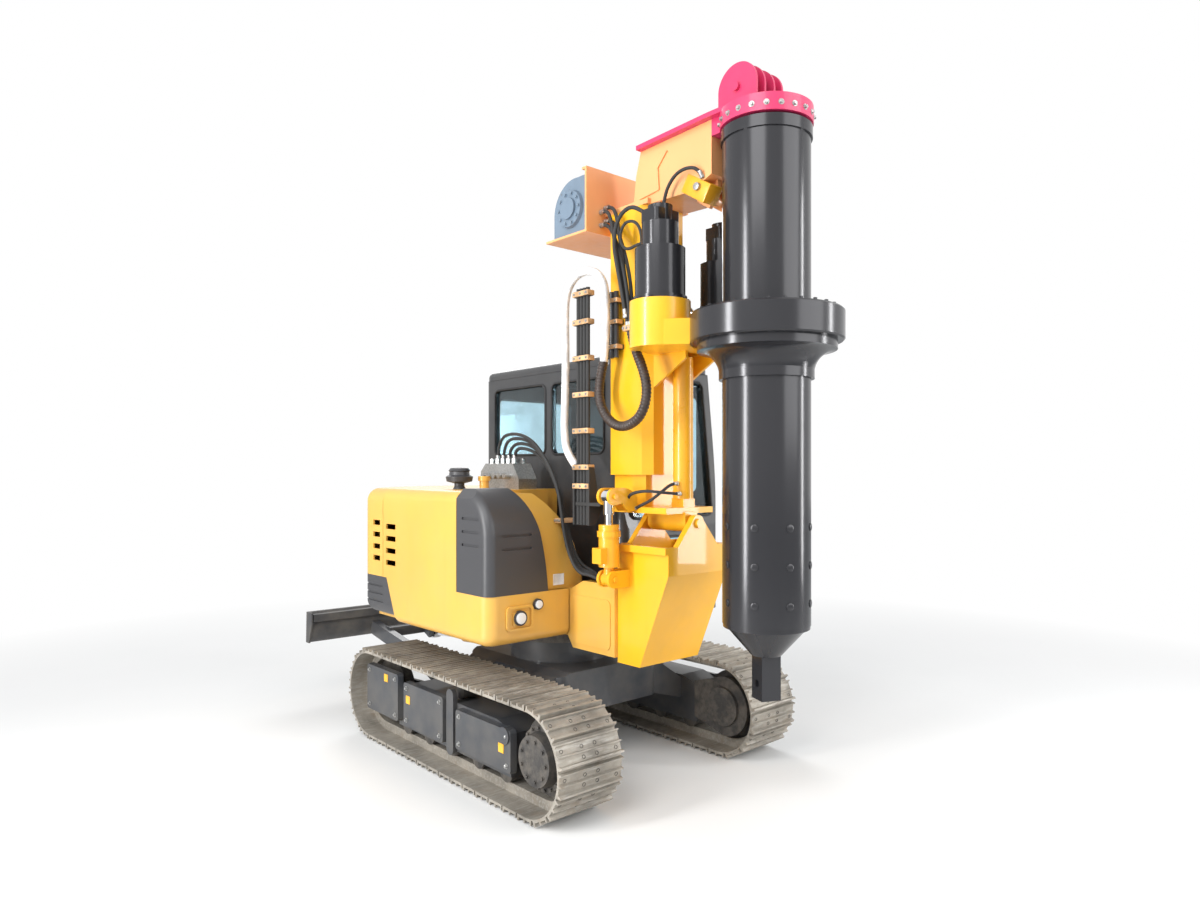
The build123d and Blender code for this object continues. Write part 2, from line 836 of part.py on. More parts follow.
# Side skirt: sheet wrapped round the right front corner, rounded in below, with a lamp
skirt_height = skirt_top - deck_low
skirt_width = upper_half - bracket_half - 10
skirt_corner = 85
lamp_x = -669
lamp_z = 988
with BuildPart() as skirt_room:
    with BuildSketch(Plane.XY.offset(deck_low + sheet)) as room_plan:
        with Locations((-upper_half + sheet, upper_front + sheet)):
            Rectangle(upper_half, 2 * upper_half, align=(Align.MIN, Align.MIN))
        fillet(
            room_plan.vertices().sort_by(Axis.X)[:2].sort_by(Axis.Y)[0], skirt_corner - sheet
        )
    extrude(amount=skirt_height)
    fillet(
        skirt_room.edges().group_by(Axis.Z)[0].sort_by(Axis.X)[0], skirt_round - sheet
    )
with BuildPart() as side_skirt:
    with BuildSketch(Plane.XY.offset(deck_low)) as skirt_plan:
        with Locations((-upper_half, upper_front)):
            Rectangle(
                skirt_width, skirt_seam - upper_front, align=(Align.MIN, Align.MIN)
            )
        fillet(skirt_plan.vertices().sort_by(Axis.X)[:2].sort_by(Axis.Y)[0], skirt_corner)
    extrude(amount=skirt_height)
    fillet(side_skirt.edges().group_by(Axis.Z)[0].sort_by(Axis.X)[0], skirt_round)
    add(skirt_room.part, mode=Mode.SUBTRACT)
    # The deck's edge
    with BuildSketch(Plane.XY.offset(deck_low - past)):
        with Locations(
            (
                -upper_half + deck_inset + upper_half / 2,
                upper_front + deck_inset + upper_half,
            )
        ):
            Rectangle(upper_half, 2 * upper_half)
    extrude(amount=skirt_height, mode=Mode.SUBTRACT)
    # Slanted seam towards the counterweight
    with BuildSketch(Plane.YZ.offset(-upper_half - past)):
        add(
            flat(
                (skirt_seam - seam_slant, deck_low - past),
                (skirt_seam, skirt_top + past),
                (skirt_seam + 2 * past, skirt_top + past),
                (skirt_seam + 2 * past, deck_low - past),
            )
        )
    extrude(amount=upper_half, mode=Mode.SUBTRACT)
    # Bezel, lamp block in its recess, and a round reflector beside it
    with BuildSketch(Plane.XZ.offset(-upper_front)):
        with Locations((lamp_x, lamp_z)):
            RectangleRounded(196, 150, 28)
            RectangleRounded(164, 118, 18, mode=Mode.SUBTRACT)
    extrude(amount=14)
    with BuildSketch(Plane.XZ.offset(-upper_front)):
        with Locations((lamp_x + 8, lamp_z - 4)):
            RectangleRounded(116, 84, 12)
    extrude(amount=9)
    with BuildSketch(Plane.XZ.offset(-upper_front)):
        with Locations((-535, 1058)):
            Circle(26)
    extrude(amount=12)
side_skirt.part.label = "side_skirt"
export_step(side_skirt.part, "parts/side_skirt.step")

# Front cover: a dome cut from a front view and a side view, with three grooves on each face
with BuildPart() as cover_side:
    with BuildSketch(Plane.YZ.offset(-upper_half)):
        with BuildLine():
            Polyline((hood_front, cover_top), (hood_front, skirt_top), (upper_front, skirt_top))
            Line((upper_front, skirt_top), (upper_front, cover_top - 310))
            ThreePointArc(
                (upper_front, cover_top - 310),
                (upper_front + 52, cover_top - 120),
                (upper_front + 200, cover_top),
            )
            Line((upper_front + 200, cover_top), (hood_front, cover_top))
        make_face()
    extrude(amount=upper_half)
groove_rows = (1425, 1505, 1585)
with BuildPart() as front_cover:
    with BuildSketch(Plane.XZ.offset(-upper_front)):
        with BuildLine():
            Polyline(
                (cover_right - 160, cover_top),
                (-upper_half + 55, cover_top),
                (-upper_half + 2, cover_top - 60),
                (-upper_half + 2, skirt_top),
                (cover_right, skirt_top),
            )
            ThreePointArc(
                (cover_right, skirt_top),
                (cover_right - 50, cover_top - 310),
                (cover_right - 160, cover_top),
            )
        make_face()
    extrude(amount=-(hood_front - upper_front))
    add(cover_side.part, mode=Mode.INTERSECT)
    fillet(front_cover.edges().filter_by(Axis.Z).group_by(Axis.Y)[0].sort_by(Axis.X)[0], 60)
    for z in groove_rows:
        with BuildSketch(Plane.YZ.offset(-upper_half - past)):
            with Locations((upper_front + 185, z)):
                SlotOverall(190, 16)
        extrude(amount=past + 10, mode=Mode.SUBTRACT)
        with BuildSketch(Plane.XZ.offset(-upper_front + past)):
            with Locations((cover_right - 235, z - 20)):
                SlotOverall(220, 16)
        extrude(amount=-past - 10, mode=Mode.SUBTRACT)
front_cover.part.label = "front_cover"
export_step(front_cover.part, "parts/front_cover.step")

# Fuel tank beside the cover, bulging over the bracket
with BuildPart() as tank_side:
    with BuildSketch(Plane.YZ.offset(cover_right - 200)):
        with BuildLine():
            Polyline((hood_front, hood_top - 20), (hood_front, skirt_top), (upper_front + 30, skirt_top))
            Line((upper_front + 30, skirt_top), (upper_front + 30, cover_top - 360))
            ThreePointArc(
                (upper_front + 30, cover_top - 360),
                (upper_front + 80, cover_top - 180),
                (upper_front + 210, hood_top - 20),
            )
            Line((upper_front + 210, hood_top - 20), (hood_front, hood_top - 20))
        make_face()
    extrude(amount=upper_half)
with BuildPart() as fuel_tank:
    with BuildSketch(Plane.XZ.offset(-upper_front)):
        with BuildLine():
            Line((cover_right, skirt_top), (tank_right, skirt_top))
            ThreePointArc(
                (tank_right, skirt_top),
                (tank_right - 95, cover_top - 310),
                (tank_right - 275, hood_top - 20),
            )
            Line((tank_right - 275, hood_top - 20), (cover_right - 152, hood_top - 20))
            ThreePointArc(
                (cover_right - 152, hood_top - 20),
                (cover_right - 50, cover_top - 310),
                (cover_right, skirt_top),
            )
        make_face()
    extrude(amount=-(hood_front - upper_front))
    add(tank_side.part, mode=Mode.INTERSECT)
    add(front_cover.part, mode=Mode.SUBTRACT)
fuel_tank.part.label = "fuel_tank"
export_step(fuel_tank.part, "parts/fuel_tank.step")

# Cab: a hollow shell with its windows and its door opening cut
cab_x = (cab_left + cab_right) / 2
cab_width = cab_left - cab_right
floor_top = deck_top + cab_floor
shell_top = cab_roof - roof_depth
side_windows = ((-160, 560), (510, 640))
side_window_z = (shell_top + screen_foot) / 2 + 205
side_window_height = 500
rear_window_z = 2080
foot_window_z = 1240
foot_window_height = 380
screen_z = (screen_foot + shell_top) / 2
screen_height = shell_top - screen_foot - 120
screen_width = cab_width - 150
screen_middle = cab_front + screen_lean / 2
screen_plane = Plane(
    origin=(cab_x, screen_middle, screen_z),
    x_dir=(1, 0, 0),
    z_dir=(0, -(shell_top - screen_foot), screen_lean),
)
with BuildPart() as cab_shell:
    with BuildSketch(Plane.YZ.offset(cab_right)):
        add(
            flat(
                (cab_front, deck_top),
                (cab_rear, deck_top),
                (cab_rear, shell_top),
                (cab_front + screen_lean, shell_top),
                (cab_front, screen_foot),
            )
        )
    extrude(amount=cab_width)
    fillet(cab_shell.edges().filter_by(Axis.Z), cab_corner)
    with BuildSketch(Plane.YZ.offset(cab_right + cab_wall)):
        add(
            flat(
                (cab_front + cab_wall, floor_top),
                (cab_rear - cab_wall, floor_top),
                (cab_rear - cab_wall, shell_top + past),
                (cab_front + cab_wall + screen_lean, shell_top + past),
                (cab_front + cab_wall, screen_foot),
            )
        )
    extrude(amount=cab_width - 2 * cab_wall, mode=Mode.SUBTRACT)
    with BuildSketch(Plane.YZ.offset(cab_right - past)):
        for y, width in side_windows:
            with Locations((y, side_window_z)):
                RectangleRounded(width, side_window_height, 50)
    extrude(amount=cab_wall + 2 * past, mode=Mode.SUBTRACT)
    with BuildSketch(Plane.XZ.offset(-cab_rear - past)):
        with Locations((cab_x, rear_window_z)):
            RectangleRounded(720, 720, 50)
    extrude(amount=cab_wall + 2 * past, mode=Mode.SUBTRACT)
    with BuildSketch(screen_plane.offset(past)):
        RectangleRounded(screen_width, screen_height, 50)
    extrude(amount=-cab_wall - 2 * past, mode=Mode.SUBTRACT)
    with BuildSketch(Plane.XZ.offset(-cab_front + past)):
        with Locations((cab_x, foot_window_z)):
            RectangleRounded(screen_width, foot_window_height, 50)
    extrude(amount=-cab_wall - 2 * past, mode=Mode.SUBTRACT)
    door_middle = (door_front + door_rear) / 2
    door_mid_z = (door_low + door_high) / 2
    with BuildSketch(Plane.YZ.offset(cab_left + past)):
        with Locations((door_middle, door_mid_z)):
            RectangleRounded(door_rear - door_front, door_high - door_low, 60)
    extrude(amount=-cab_wall - 2 * past, mode=Mode.SUBTRACT)
    # Hinge pins for the door, each standing on a lug
    for z in hinge_rows:
        with BuildSketch(Plane.XY.offset(z - 24 - running)):
            with Locations((hinge_x, hinge_y)):
                Circle(14)
            with Locations((hinge_x - 11, hinge_y + 14)):
                Rectangle(22, 28)
        extrude(amount=24)
        with BuildSketch(Plane.XY.offset(z - 10)):
            with Locations((hinge_x, hinge_y)):
                Circle(8)
        extrude(amount=60)
cab_shell.part.label = "cab_shell"
export_step(cab_shell.part, "parts/cab_shell.step")

# Roof with rounded edges
with BuildPart() as cab_top:
    with BuildSketch(Plane.XY.offset(shell_top)):
        with Locations((cab_x, (cab_front + screen_lean - 20 + cab_rear) / 2)):
            RectangleRounded(cab_width + 10, cab_rear - cab_front - screen_lean + 30, 90)
    extrude(amount=roof_depth)
    fillet(cab_top.faces().sort_by(Axis.Z)[-1].edges(), 45)
cab_top.part.label = "cab_top"
export_step(cab_top.part, "parts/cab_top.step")

# Window panes, one thin solid each
pane = 6
with BuildPart() as cab_glass:
    with BuildSketch(Plane.YZ.offset(cab_right + 16)):
        for y, width in side_windows:
            with Locations((y, side_window_z)):
                RectangleRounded(width, side_window_height, 50)
    extrude(amount=pane)
    with BuildSketch(Plane.XZ.offset(-cab_rear + 16)):
        with Locations((cab_x, rear_window_z)):
            RectangleRounded(720, 720, 50)
    extrude(amount=pane)
    with BuildSketch(screen_plane.offset(-22)):
        RectangleRounded(screen_width, screen_height, 50)
    extrude(amount=pane)
    with BuildSketch(Plane.XZ.offset(-cab_front - 22)):
        with Locations((cab_x, foot_window_z)):
            RectangleRounded(screen_width, foot_window_height, 50)
    extrude(amount=pane)
cab_glass.part.label = "cab_glass"
export_step(cab_glass.part, "parts/cab_glass.step")

# Door, hinged at its rear edge, with its panes
door_width = door_rear - door_front - 2 * door_gap
door_height = door_high - door_low - 2 * door_gap
door_panes = ((door_mid_z + 330, 700), (door_mid_z - 380, 500))
with BuildPart() as cab_door:
    with BuildSketch(Plane.YZ.offset(cab_left - door_depth - 6)):
        with Locations((door_middle, door_mid_z)):
            RectangleRounded(door_width, door_height, 54)
        for z, height in door_panes:
            with Locations((door_middle, z)):
                RectangleRounded(door_width - 144, height, 50, mode=Mode.SUBTRACT)
    extrude(amount=door_depth)
    for z in hinge_rows:
        with BuildSketch(Plane.XY.offset(z)):
            with Locations((hinge_x, hinge_y)):
                Circle(14)
            with Locations((hinge_x - 20, hinge_y - 15)):
                Rectangle(36, 16)
            with Locations((hinge_x, hinge_y)):
                Circle(8 + running, mode=Mode.SUBTRACT)
        extrude(amount=50)
cab_door.part.label = "cab_door"
export_step(cab_door.part, "parts/cab_door.step")

with BuildPart() as door_glass:
    with BuildSketch(Plane.YZ.offset(cab_left - 24)):
        for z, height in door_panes:
            with Locations((door_middle, z)):
                RectangleRounded(door_width - 144, height, 50)
    extrude(amount=pane)
door_glass.part.label = "door_glass"
export_step(door_glass.part, "parts/door_glass.step")

# Operator's seat: pedestal, cushion and backrest
with BuildPart() as cab_seat:
    with BuildSketch(Plane.XY.offset(floor_top)):
        with Locations((cab_x, 330)):
            RectangleRounded(380, 400, 40)
    extrude(amount=320)
    with BuildSketch(Plane.YZ.offset(cab_x)) as seat_section:
        add(
            flat(
                (70, floor_top + 320),
                (70, floor_top + 440),
                (470, floor_top + 430),
                (560, floor_top + 1040),
                (660, floor_top + 1030),
                (580, floor_top + 320),
            )
        )
        fillet(seat_section.vertices(), 22)
    extrude(amount=235, both=True)
cab_seat.part.label = "cab_seat"
export_step(cab_seat.part, "parts/cab_seat.step")

# Side consoles with control levers, and the travel levers in front of the seat
with BuildPart() as cab_controls:
    for side in (-1, 1):
        with BuildSketch(Plane.XY.offset(floor_top)):
            with Locations((cab_x + side * 315, 250)):
                RectangleRounded(110, 520, 30)
        extrude(amount=520)
        with BuildSketch(Plane.XY.offset(floor_top + 520)):
            with Locations((cab_x + side * 315, 60)):
                Circle(18)
        extrude(amount=190)
        with BuildSketch(Plane.XY.offset(floor_top)):
            with Locations((cab_x + side * 90, -330)):
                Circle(16)
        extrude(amount=700)
cab_controls.part.label = "cab_controls"
export_step(cab_controls.part, "parts/cab_controls.step")

# Engine, a plain block in its bay
with BuildPart() as engine_block:
    with BuildSketch(Plane.XY.offset(deck_top)):
        with Locations((-80, cab_rear + 220)):
            Rectangle(upper_half, 230)
    extrude(amount=hood_top - deck_top - 230)
engine_block.part.label = "engine_block"
export_step(engine_block.part, "parts/engine_block.step")

# Air pre-cleaner, turned from one profile: radius and height over the hood
cleaner_profile = (
    (0, 0),
    (44, 0),
    (34, 22),
    (34, 38),
    (86, 52),
    (92, 84),
    (70, 96),
    (66, 118),
    (74, 124),
    (60, 142),
    (0, 148),
)
with BuildPart() as pre_cleaner:
    with BuildSketch(Plane.XZ.offset(-cleaner_spot[1])):
        add(flat(*[(cleaner_spot[0] + r, hood_top + z) for r, z in cleaner_profile]))
    revolve(axis=Axis((*cleaner_spot, 0), (0, 0, 1)))
pre_cleaner.part.label = "pre_cleaner"
export_step(pre_cleaner.part, "parts/pre_cleaner.step")

# Valve block on the hood: a body, its sloping face and a row of hose fittings
valve_x = -262
valve_front = 40
valve_rear = 500
with BuildPart() as valve_block:
    with BuildSketch(Plane.YZ.offset(valve_x - 75)):
        add(
            flat(
                (valve_front, hood_top),
                (valve_front, hood_top + 70),
                (valve_front + 70, hood_top + 175),
                (valve_rear - 60, hood_top + 175),
                (valve_rear, hood_top + 120),
                (valve_rear, hood_top),
            )
        )
    extrude(amount=150)
    for step in range(5):
        fitting_y = valve_front + 110 + step * 66
        with BuildSketch(Plane.XY.offset(hood_top + 175)):
            with Locations((valve_x - 30, fitting_y), (valve_x + 38, fitting_y)):
                RegularPolygon(22, 6)
        extrude(amount=34)
    with BuildSketch(Plane.YZ.offset(valve_x - 75)):
        for step in range(5):
            with Locations((valve_front + 110 + step * 66, hood_top + 90)):
                Circle(20)
    extrude(amount=-45)
valve_block.part.label = "valve_block"
export_step(valve_block.part, "parts/valve_block.step")

# Mast base: an open-topped box whose front slants in towards its foot
base_rear = -bracket_reach
with BuildPart() as mast_base:
    with BuildSketch(Plane.YZ):
        add(
            flat(
                (base_rear, base_low),
                (base_rear, base_top),
                (base_front, base_top),
                (base_front, base_top - base_band),
                (base_foot, base_low),
            )
        )
    extrude(amount=base_half, both=True)
    with BuildSketch(Plane.YZ):
        add(
            flat(
                (base_rear - base_wall, base_low + base_wall),
                (base_rear - base_wall, base_top + past),
                (base_front + base_wall, base_top + past),
                (base_front + base_wall, base_top - base_band),
                (base_foot + base_wall / 2, base_low + base_wall),
            )
        )
    extrude(amount=base_half - base_wall, both=True, mode=Mode.SUBTRACT)
    # Round-headed pivot lugs in front and behind, with the pin between them
    for y in (base_front + pivot_lug, base_rear):
        with BuildSketch(Plane.XZ.offset(-y)):
            add(
                flat(
                    (-170, base_top - 130),
                    (-170, base_top),
                    (-pivot_round + 3, pivot_height + 16),
                    (pivot_round - 3, pivot_height + 16),
                    (170, base_top),
                    (170, base_top - 130),
                )
            )
            with Locations((0, pivot_height)):
                Circle(pivot_round)
        extrude(amount=pivot_lug)
    with BuildSketch(Plane.XZ.offset(-base_rear - 10)):
        with Locations((0, pivot_height)):
            Circle(pivot_pin)
    extrude(amount=base_rear - base_front + 25)
    # Stiffening rails along the top edges, and plates where the bracket beams join
    for side in (-1, 1):
        with BuildSketch(Plane.XZ.offset(-base_rear)):
            with Locations((side * (base_half + 12), base_top - 20)):
                Rectangle(24, 40)
        extrude(amount=base_rear - base_front)
    # Bracket for the foot of the tilt cylinder
    for side in (-1, 1):
        with BuildSketch(Plane.XZ.offset(-tilt_y - side * tilt_cheek)):
            add(
                flat(
                    (-base_half, tilt_low - tilt_lug),
                    (-base_half, tilt_low + tilt_lug),
                    (tilt_x, tilt_low + tilt_lug),
                    (tilt_x, tilt_low - tilt_lug),
                )
            )
            with Locations((tilt_x, tilt_low)):
                Circle(tilt_lug)
                Circle(tilt_pin + pin_fit, mode=Mode.SUBTRACT)
        extrude(amount=9, both=True)
mast_base.part.label = "mast_base"
export_step(mast_base.part, "parts/mast_base.step")

# Mast: a hollow column on a collar plate, with its pivot boss below
collar_top = collar_low + collar_plate
with BuildPart() as mast_column:
    with BuildSketch(Plane.XY.offset(collar_low)):
        with Locations((0, (base_rear + base_front) / 2 + 115)):
            Rectangle(400, 520)
    extrude(amount=collar_plate)
    with BuildSketch(Plane.XY.offset(collar_top)):
        with Locations((0, column_mid)):
            Rectangle(2 * column_half, 2 * column_deep)
            Rectangle(
                2 * (column_half - column_wall),
                2 * (column_deep - column_wall),
                mode=Mode.SUBTRACT,
            )
    extrude(amount=column_top - collar_top)
    # Foot ribs beside the column, below the sleeve's lowest place
    for side in (-1, 1):
        with BuildSketch(Plane.XZ.offset(-column_mid - 12)):
            add(
                flat(
                    (side * column_half, collar_top),
                    (side * column_half, collar_top + 70),
                    (side * 195, collar_top),
                )
            )
        extrude(amount=24)
    # Pivot boss between the base's lugs
    boss_end = pivot_lug + 15
    with BuildSketch(Plane.XZ.offset(-(base_rear - boss_end))):
        with Locations((0, pivot_height)):
            Circle(52)
        with Locations((0, (pivot_height + collar_low) / 2 + 5)):
            Rectangle(104, collar_low - pivot_height + 10)
        with Locations((0, pivot_height)):
            Circle(pivot_pin + pin_fit, mode=Mode.SUBTRACT)
    extrude(amount=base_rear - base_front - 2 * boss_end)
    # Curved bracket for the head of the tilt cylinder, kept under the sleeve's lowest place
    for side in (-1, 1):
        with BuildSketch(Plane.XZ.offset(-tilt_y - side * tilt_cheek)):
            with BuildLine():
                Line((-190, collar_low + 10), (-190, collar_top + 55))
                ThreePointArc(
                    (-190, collar_top + 55), (-230, tilt_high + 28), (-300, tilt_high + tilt_lug)
                )
                Polyline(
                    (-300, tilt_high + tilt_lug),
                    (tilt_x, tilt_high + tilt_lug),
                    (tilt_x, tilt_high - tilt_lug),
                    (-310, tilt_high - 40),
                    (-262, collar_low + 10),
                    (-190, collar_low + 10),
                )
            make_face()
            with Locations((tilt_x, tilt_high)):
                Circle(tilt_lug)
        extrude(amount=9, both=True)
    with BuildSketch(Plane.XZ.offset(-tilt_y)):
        with Locations((tilt_x, tilt_high)):
            Circle(tilt_pin)
    extrude(amount=66, both=True)
mast_column.part.label = "mast_column"
export_step(mast_column.part, "parts/mast_column.step")

# Feed cylinder barrel, standing on the collar plate
with BuildPart() as feed_barrel:
    with BuildSketch(Plane.XY.offset(collar_top)):
        with Locations((0, feed_y)):
            Rectangle(96, 96)
    extrude(amount=50)
    with BuildSketch(Plane.XY.offset(collar_top + 50)):
        with Locations((0, feed_y)):
            Circle(feed_radius)
    extrude(amount=feed_barrel_top - collar_top - 50)
    with BuildSketch(Plane.XY.offset(collar_top + 90)):
        with Locations((0, feed_y)):
            Circle(feed_rod_radius + 2 * pin_fit)
    extrude(amount=feed_barrel_top - collar_top, mode=Mode.SUBTRACT)
feed_barrel.part.label = "feed_barrel"
export_step(feed_barrel.part, "parts/feed_barrel.step")

# Feed cylinder rod, held by lugs on the sleeve
feed_rod_low = collar_top + 260
with BuildPart() as feed_rod:
    with BuildSketch(Plane.XY.offset(feed_rod_low)):
        with Locations((0, feed_y)):
            Circle(feed_rod_radius)
    extrude(amount=feed_eye - feed_rod_low - 20)
    with BuildSketch(Plane.YZ):
        with Locations((feed_y, feed_eye)):
            Circle(50)
    extrude(amount=28, both=True)
    with BuildSketch(Plane.YZ):
        with Locations((feed_y, feed_eye)):
            Circle(feed_pin + pin_fit)
    extrude(amount=40, both=True, mode=Mode.SUBTRACT)
feed_rod.part.label = "feed_rod"
export_step(feed_rod.part, "parts/feed_rod.step")

# Hose ladder on the mast's right: an angled foot, four rising hoses and the clamps on them
ladder_x = -300
ladder_y = -590
ladder_foot = collar_top - 120
ladder_top = 3000
clamp_rows = (1780, 1896, 2120, 2343, 2567, 2790, 2965)
with BuildPart() as hose_ladder:
    with BuildSketch(Plane.XY.offset(collar_top)):
        with Locations((-245, ladder_y - 66)):
            Rectangle(150, 232)
    extrude(amount=20)
    for y in (ladder_y - 80, ladder_y + 62):
        with BuildSketch(Plane.XZ.offset(-y)):
            add(
                flat(
                    (-200, collar_top),
                    (ladder_x + 30, ladder_foot),
                    (ladder_x - 20, ladder_foot),
                    (ladder_x - 20, clamp_rows[1]),
                    (ladder_x + 20, clamp_rows[1]),
                    (-240, collar_top + 20),
                    (-200, collar_top + 20),
                )
            )
        extrude(amount=-16)
    with BuildSketch(Plane.XY.offset(ladder_foot)):
        for y in (-45, -15, 15, 45):
            with Locations((ladder_x, ladder_y + y)):
                Circle(13)
    extrude(amount=ladder_top - ladder_foot)
    for z in clamp_rows:
        with BuildSketch(Plane.XY.offset(z - 18)):
            with Locations((ladder_x, ladder_y)):
                Rectangle(44, 132)
        extrude(amount=36)
hose_ladder.part.label = "hose_ladder"
export_step(hose_ladder.part, "parts/hose_ladder.step")

# Tilt cylinder between the mast base and the mast, with its clamp ring and side valve
tilt_barrel_top = pivot_height - 8
with BuildPart() as tilt_barrel:
    with BuildSketch(Plane.XY.offset(tilt_low)):
        with Locations((tilt_x, tilt_y)):
            Circle(30)
    extrude(amount=80)
    with BuildSketch(Plane.XY.offset(tilt_low + 72)):
        with Locations((tilt_x, tilt_y)):
            Circle(tilt_radius)
    extrude(amount=tilt_barrel_top - tilt_low - 72)
    with BuildSketch(Plane.XY.offset(tilt_barrel_top - 70)):
        with Locations((tilt_x, tilt_y)):
            Circle(tilt_radius + 9)
    extrude(amount=34)
    with BuildSketch(Plane.XY.offset(tilt_low + 95)):
        with Locations((tilt_x - tilt_radius - 8, tilt_y)):
            Rectangle(56, 76)
    extrude(amount=90)
    with BuildSketch(Plane.XY.offset(tilt_low + 90)):
        with Locations((tilt_x, tilt_y)):
            Circle(tilt_rod_radius + 2 * pin_fit)
    extrude(amount=tilt_barrel_top - tilt_low, mode=Mode.SUBTRACT)
    with BuildSketch(Plane.XZ.offset(-tilt_y)):
        with Locations((tilt_x, tilt_low)):
            Circle(tilt_eye)
    extrude(amount=28, both=True)
    with BuildSketch(Plane.XZ.offset(-tilt_y)):
        with Locations((tilt_x, tilt_low)):
            Circle(tilt_pin)
    extrude(amount=66, both=True)
tilt_barrel.part.label = "tilt_barrel"
export_step(tilt_barrel.part, "parts/tilt_barrel.step")

with BuildPart() as tilt_rod:
    with BuildSketch(Plane.XY.offset(tilt_low + 150)):
        with Locations((tilt_x, tilt_y)):
            Circle(tilt_rod_radius)
    extrude(amount=tilt_high - tilt_low - 170)
    with BuildSketch(Plane.XY.offset(tilt_high - 104)):
        with Locations((tilt_x, tilt_y)):
            Circle(tilt_rod_radius + 8)
    extrude(amount=80)
    with BuildSketch(Plane.XZ.offset(-tilt_y)):
        with Locations((tilt_x, tilt_high)):
            Circle(tilt_eye)
    extrude(amount=28, both=True)
    with BuildSketch(Plane.XZ.offset(-tilt_y)):
        with Locations((tilt_x, tilt_high)):
            Circle(tilt_pin + tilt_eye_play)
    extrude(amount=30, both=True, mode=Mode.SUBTRACT)
tilt_rod.part.label = "tilt_rod"
export_step(tilt_rod.part, "parts/tilt_rod.step")

# Sleeve that climbs the column, with chamfered corners and the lugs of the feed rod
with BuildPart() as sleeve:
    with BuildSketch(Plane.XY.offset(sleeve_low)) as sleeve_section:
        with Locations((0, column_mid)):
            Rectangle(2 * sleeve_half, 2 * sleeve_deep)
        chamfer(sleeve_section.vertices(), sleeve_chamfer)
        with Locations((0, column_mid)):
            Rectangle(
                2 * (column_half + slide_gap),
                2 * (column_deep + slide_gap),
                mode=Mode.SUBTRACT,
            )
    extrude(amount=sleeve_top - sleeve_low)
    # Wear pads at both ends, running on the column
    for z in (sleeve_low + 90, column_top - 190):
        with BuildSketch(Plane.XY.offset(z)):
            with Locations((0, column_mid)):
                Rectangle(2 * (column_half + slide_gap), 120)
                Rectangle(120, 2 * (column_deep + slide_gap))
                Rectangle(
                    2 * (column_half + running), 2 * (column_deep + running), mode=Mode.SUBTRACT
                )
        extrude(amount=pad_reach)
    for side in (-1, 1):
        with BuildSketch(Plane.YZ.offset(side * 46)):
            add(
                flat(
                    (sleeve_front, feed_eye - 110),
                    (sleeve_front, feed_eye + 110),
                    (feed_y, feed_eye + 55),
                    (feed_y - 50, feed_eye),
                    (feed_y, feed_eye - 55),
                )
            )
        extrude(amount=12, both=True)
    with BuildSketch(Plane.YZ):
        with Locations((feed_y, feed_eye)):
            Circle(feed_pin)
    extrude(amount=62, both=True)
sleeve.part.label = "sleeve"
export_step(sleeve.part, "parts/sleeve.step")

# Rotary gear housing: a black ring with a concave flare underneath
with BuildPart() as gear_housing:
    with BuildSketch(Plane.XZ.offset(-kelly_y)):
        with BuildLine():
            Polyline(
                (tube_radius + running, housing_low - flare_depth - 48),
                (tube_radius + 18, housing_low - flare_depth - 48),
                (tube_radius + 18, housing_low - flare_depth),
            )
            ThreePointArc(
                (tube_radius + 18, housing_low - flare_depth),
                (housing_radius - 118, housing_low - 78),
                (housing_radius - 38, housing_low - 45),
            )
            Polyline(
                (housing_radius - 38, housing_low - 45),
                (housing_radius - 38, housing_low),
                (housing_radius - 8, housing_low),
                (housing_radius, housing_low + 8),
                (housing_radius, housing_top - 10),
                (housing_radius - 10, housing_top),
                (tube_radius + running, housing_top),
                (tube_radius + running, housing_low - flare_depth - 48),
            )
        make_face()
    revolve(axis=Axis((0, kelly_y, 0), (0, 0, 1)))
gear_housing.part.label = "gear_housing"
export_step(gear_housing.part, "parts/gear_housing.step")

# Drive case: the plate that carries the housing and the two pinion drums on the sleeve
drum_spots = ((-drum_x, drum_y), (drum_x, drum_y))
case_depth = 140
with BuildPart() as drive_case:
    with BuildSketch(Plane.XY.offset(housing_low)):
        add(
            flat(
                (-sleeve_half, sleeve_front),
                (-drum_x - 120, drum_y + 60),
                (-drum_x - 120, drum_y - 120),
                (-260, kelly_y + 255),
                (260, kelly_y + 255),
                (drum_x + 120, drum_y - 120),
                (drum_x + 120, drum_y + 60),
                (sleeve_half, sleeve_front),
            )
        )
        with Locations((0, feed_y + 16)):
            Rectangle(150, 211, mode=Mode.SUBTRACT)
        with Locations((0, kelly_y)):
            Circle(housing_radius, mode=Mode.SUBTRACT)
    extrude(amount=case_depth)
    with BuildSketch(Plane.XY.offset(housing_low)):
        with Locations(*drum_spots):
            Circle(drum_radius)
        with Locations((0, kelly_y)):
            Circle(housing_radius, mode=Mode.SUBTRACT)
    extrude(amount=drum_top - housing_low)
    # Gussets under the plate, against the sleeve's front
    for side in (-1, 1):
        with BuildSketch(Plane.YZ.offset(side * (sleeve_half - sleeve_chamfer))):
            add(
                flat(
                    (sleeve_front, housing_low),
                    (drum_y - 60, housing_low),
                    (drum_y - 60, housing_low - 40),
                    (sleeve_front, housing_low - 190),
                )
            )
        extrude(amount=-side * 18)
drive_case.part.label = "drive_case"
export_step(drive_case.part, "parts/drive_case.step")

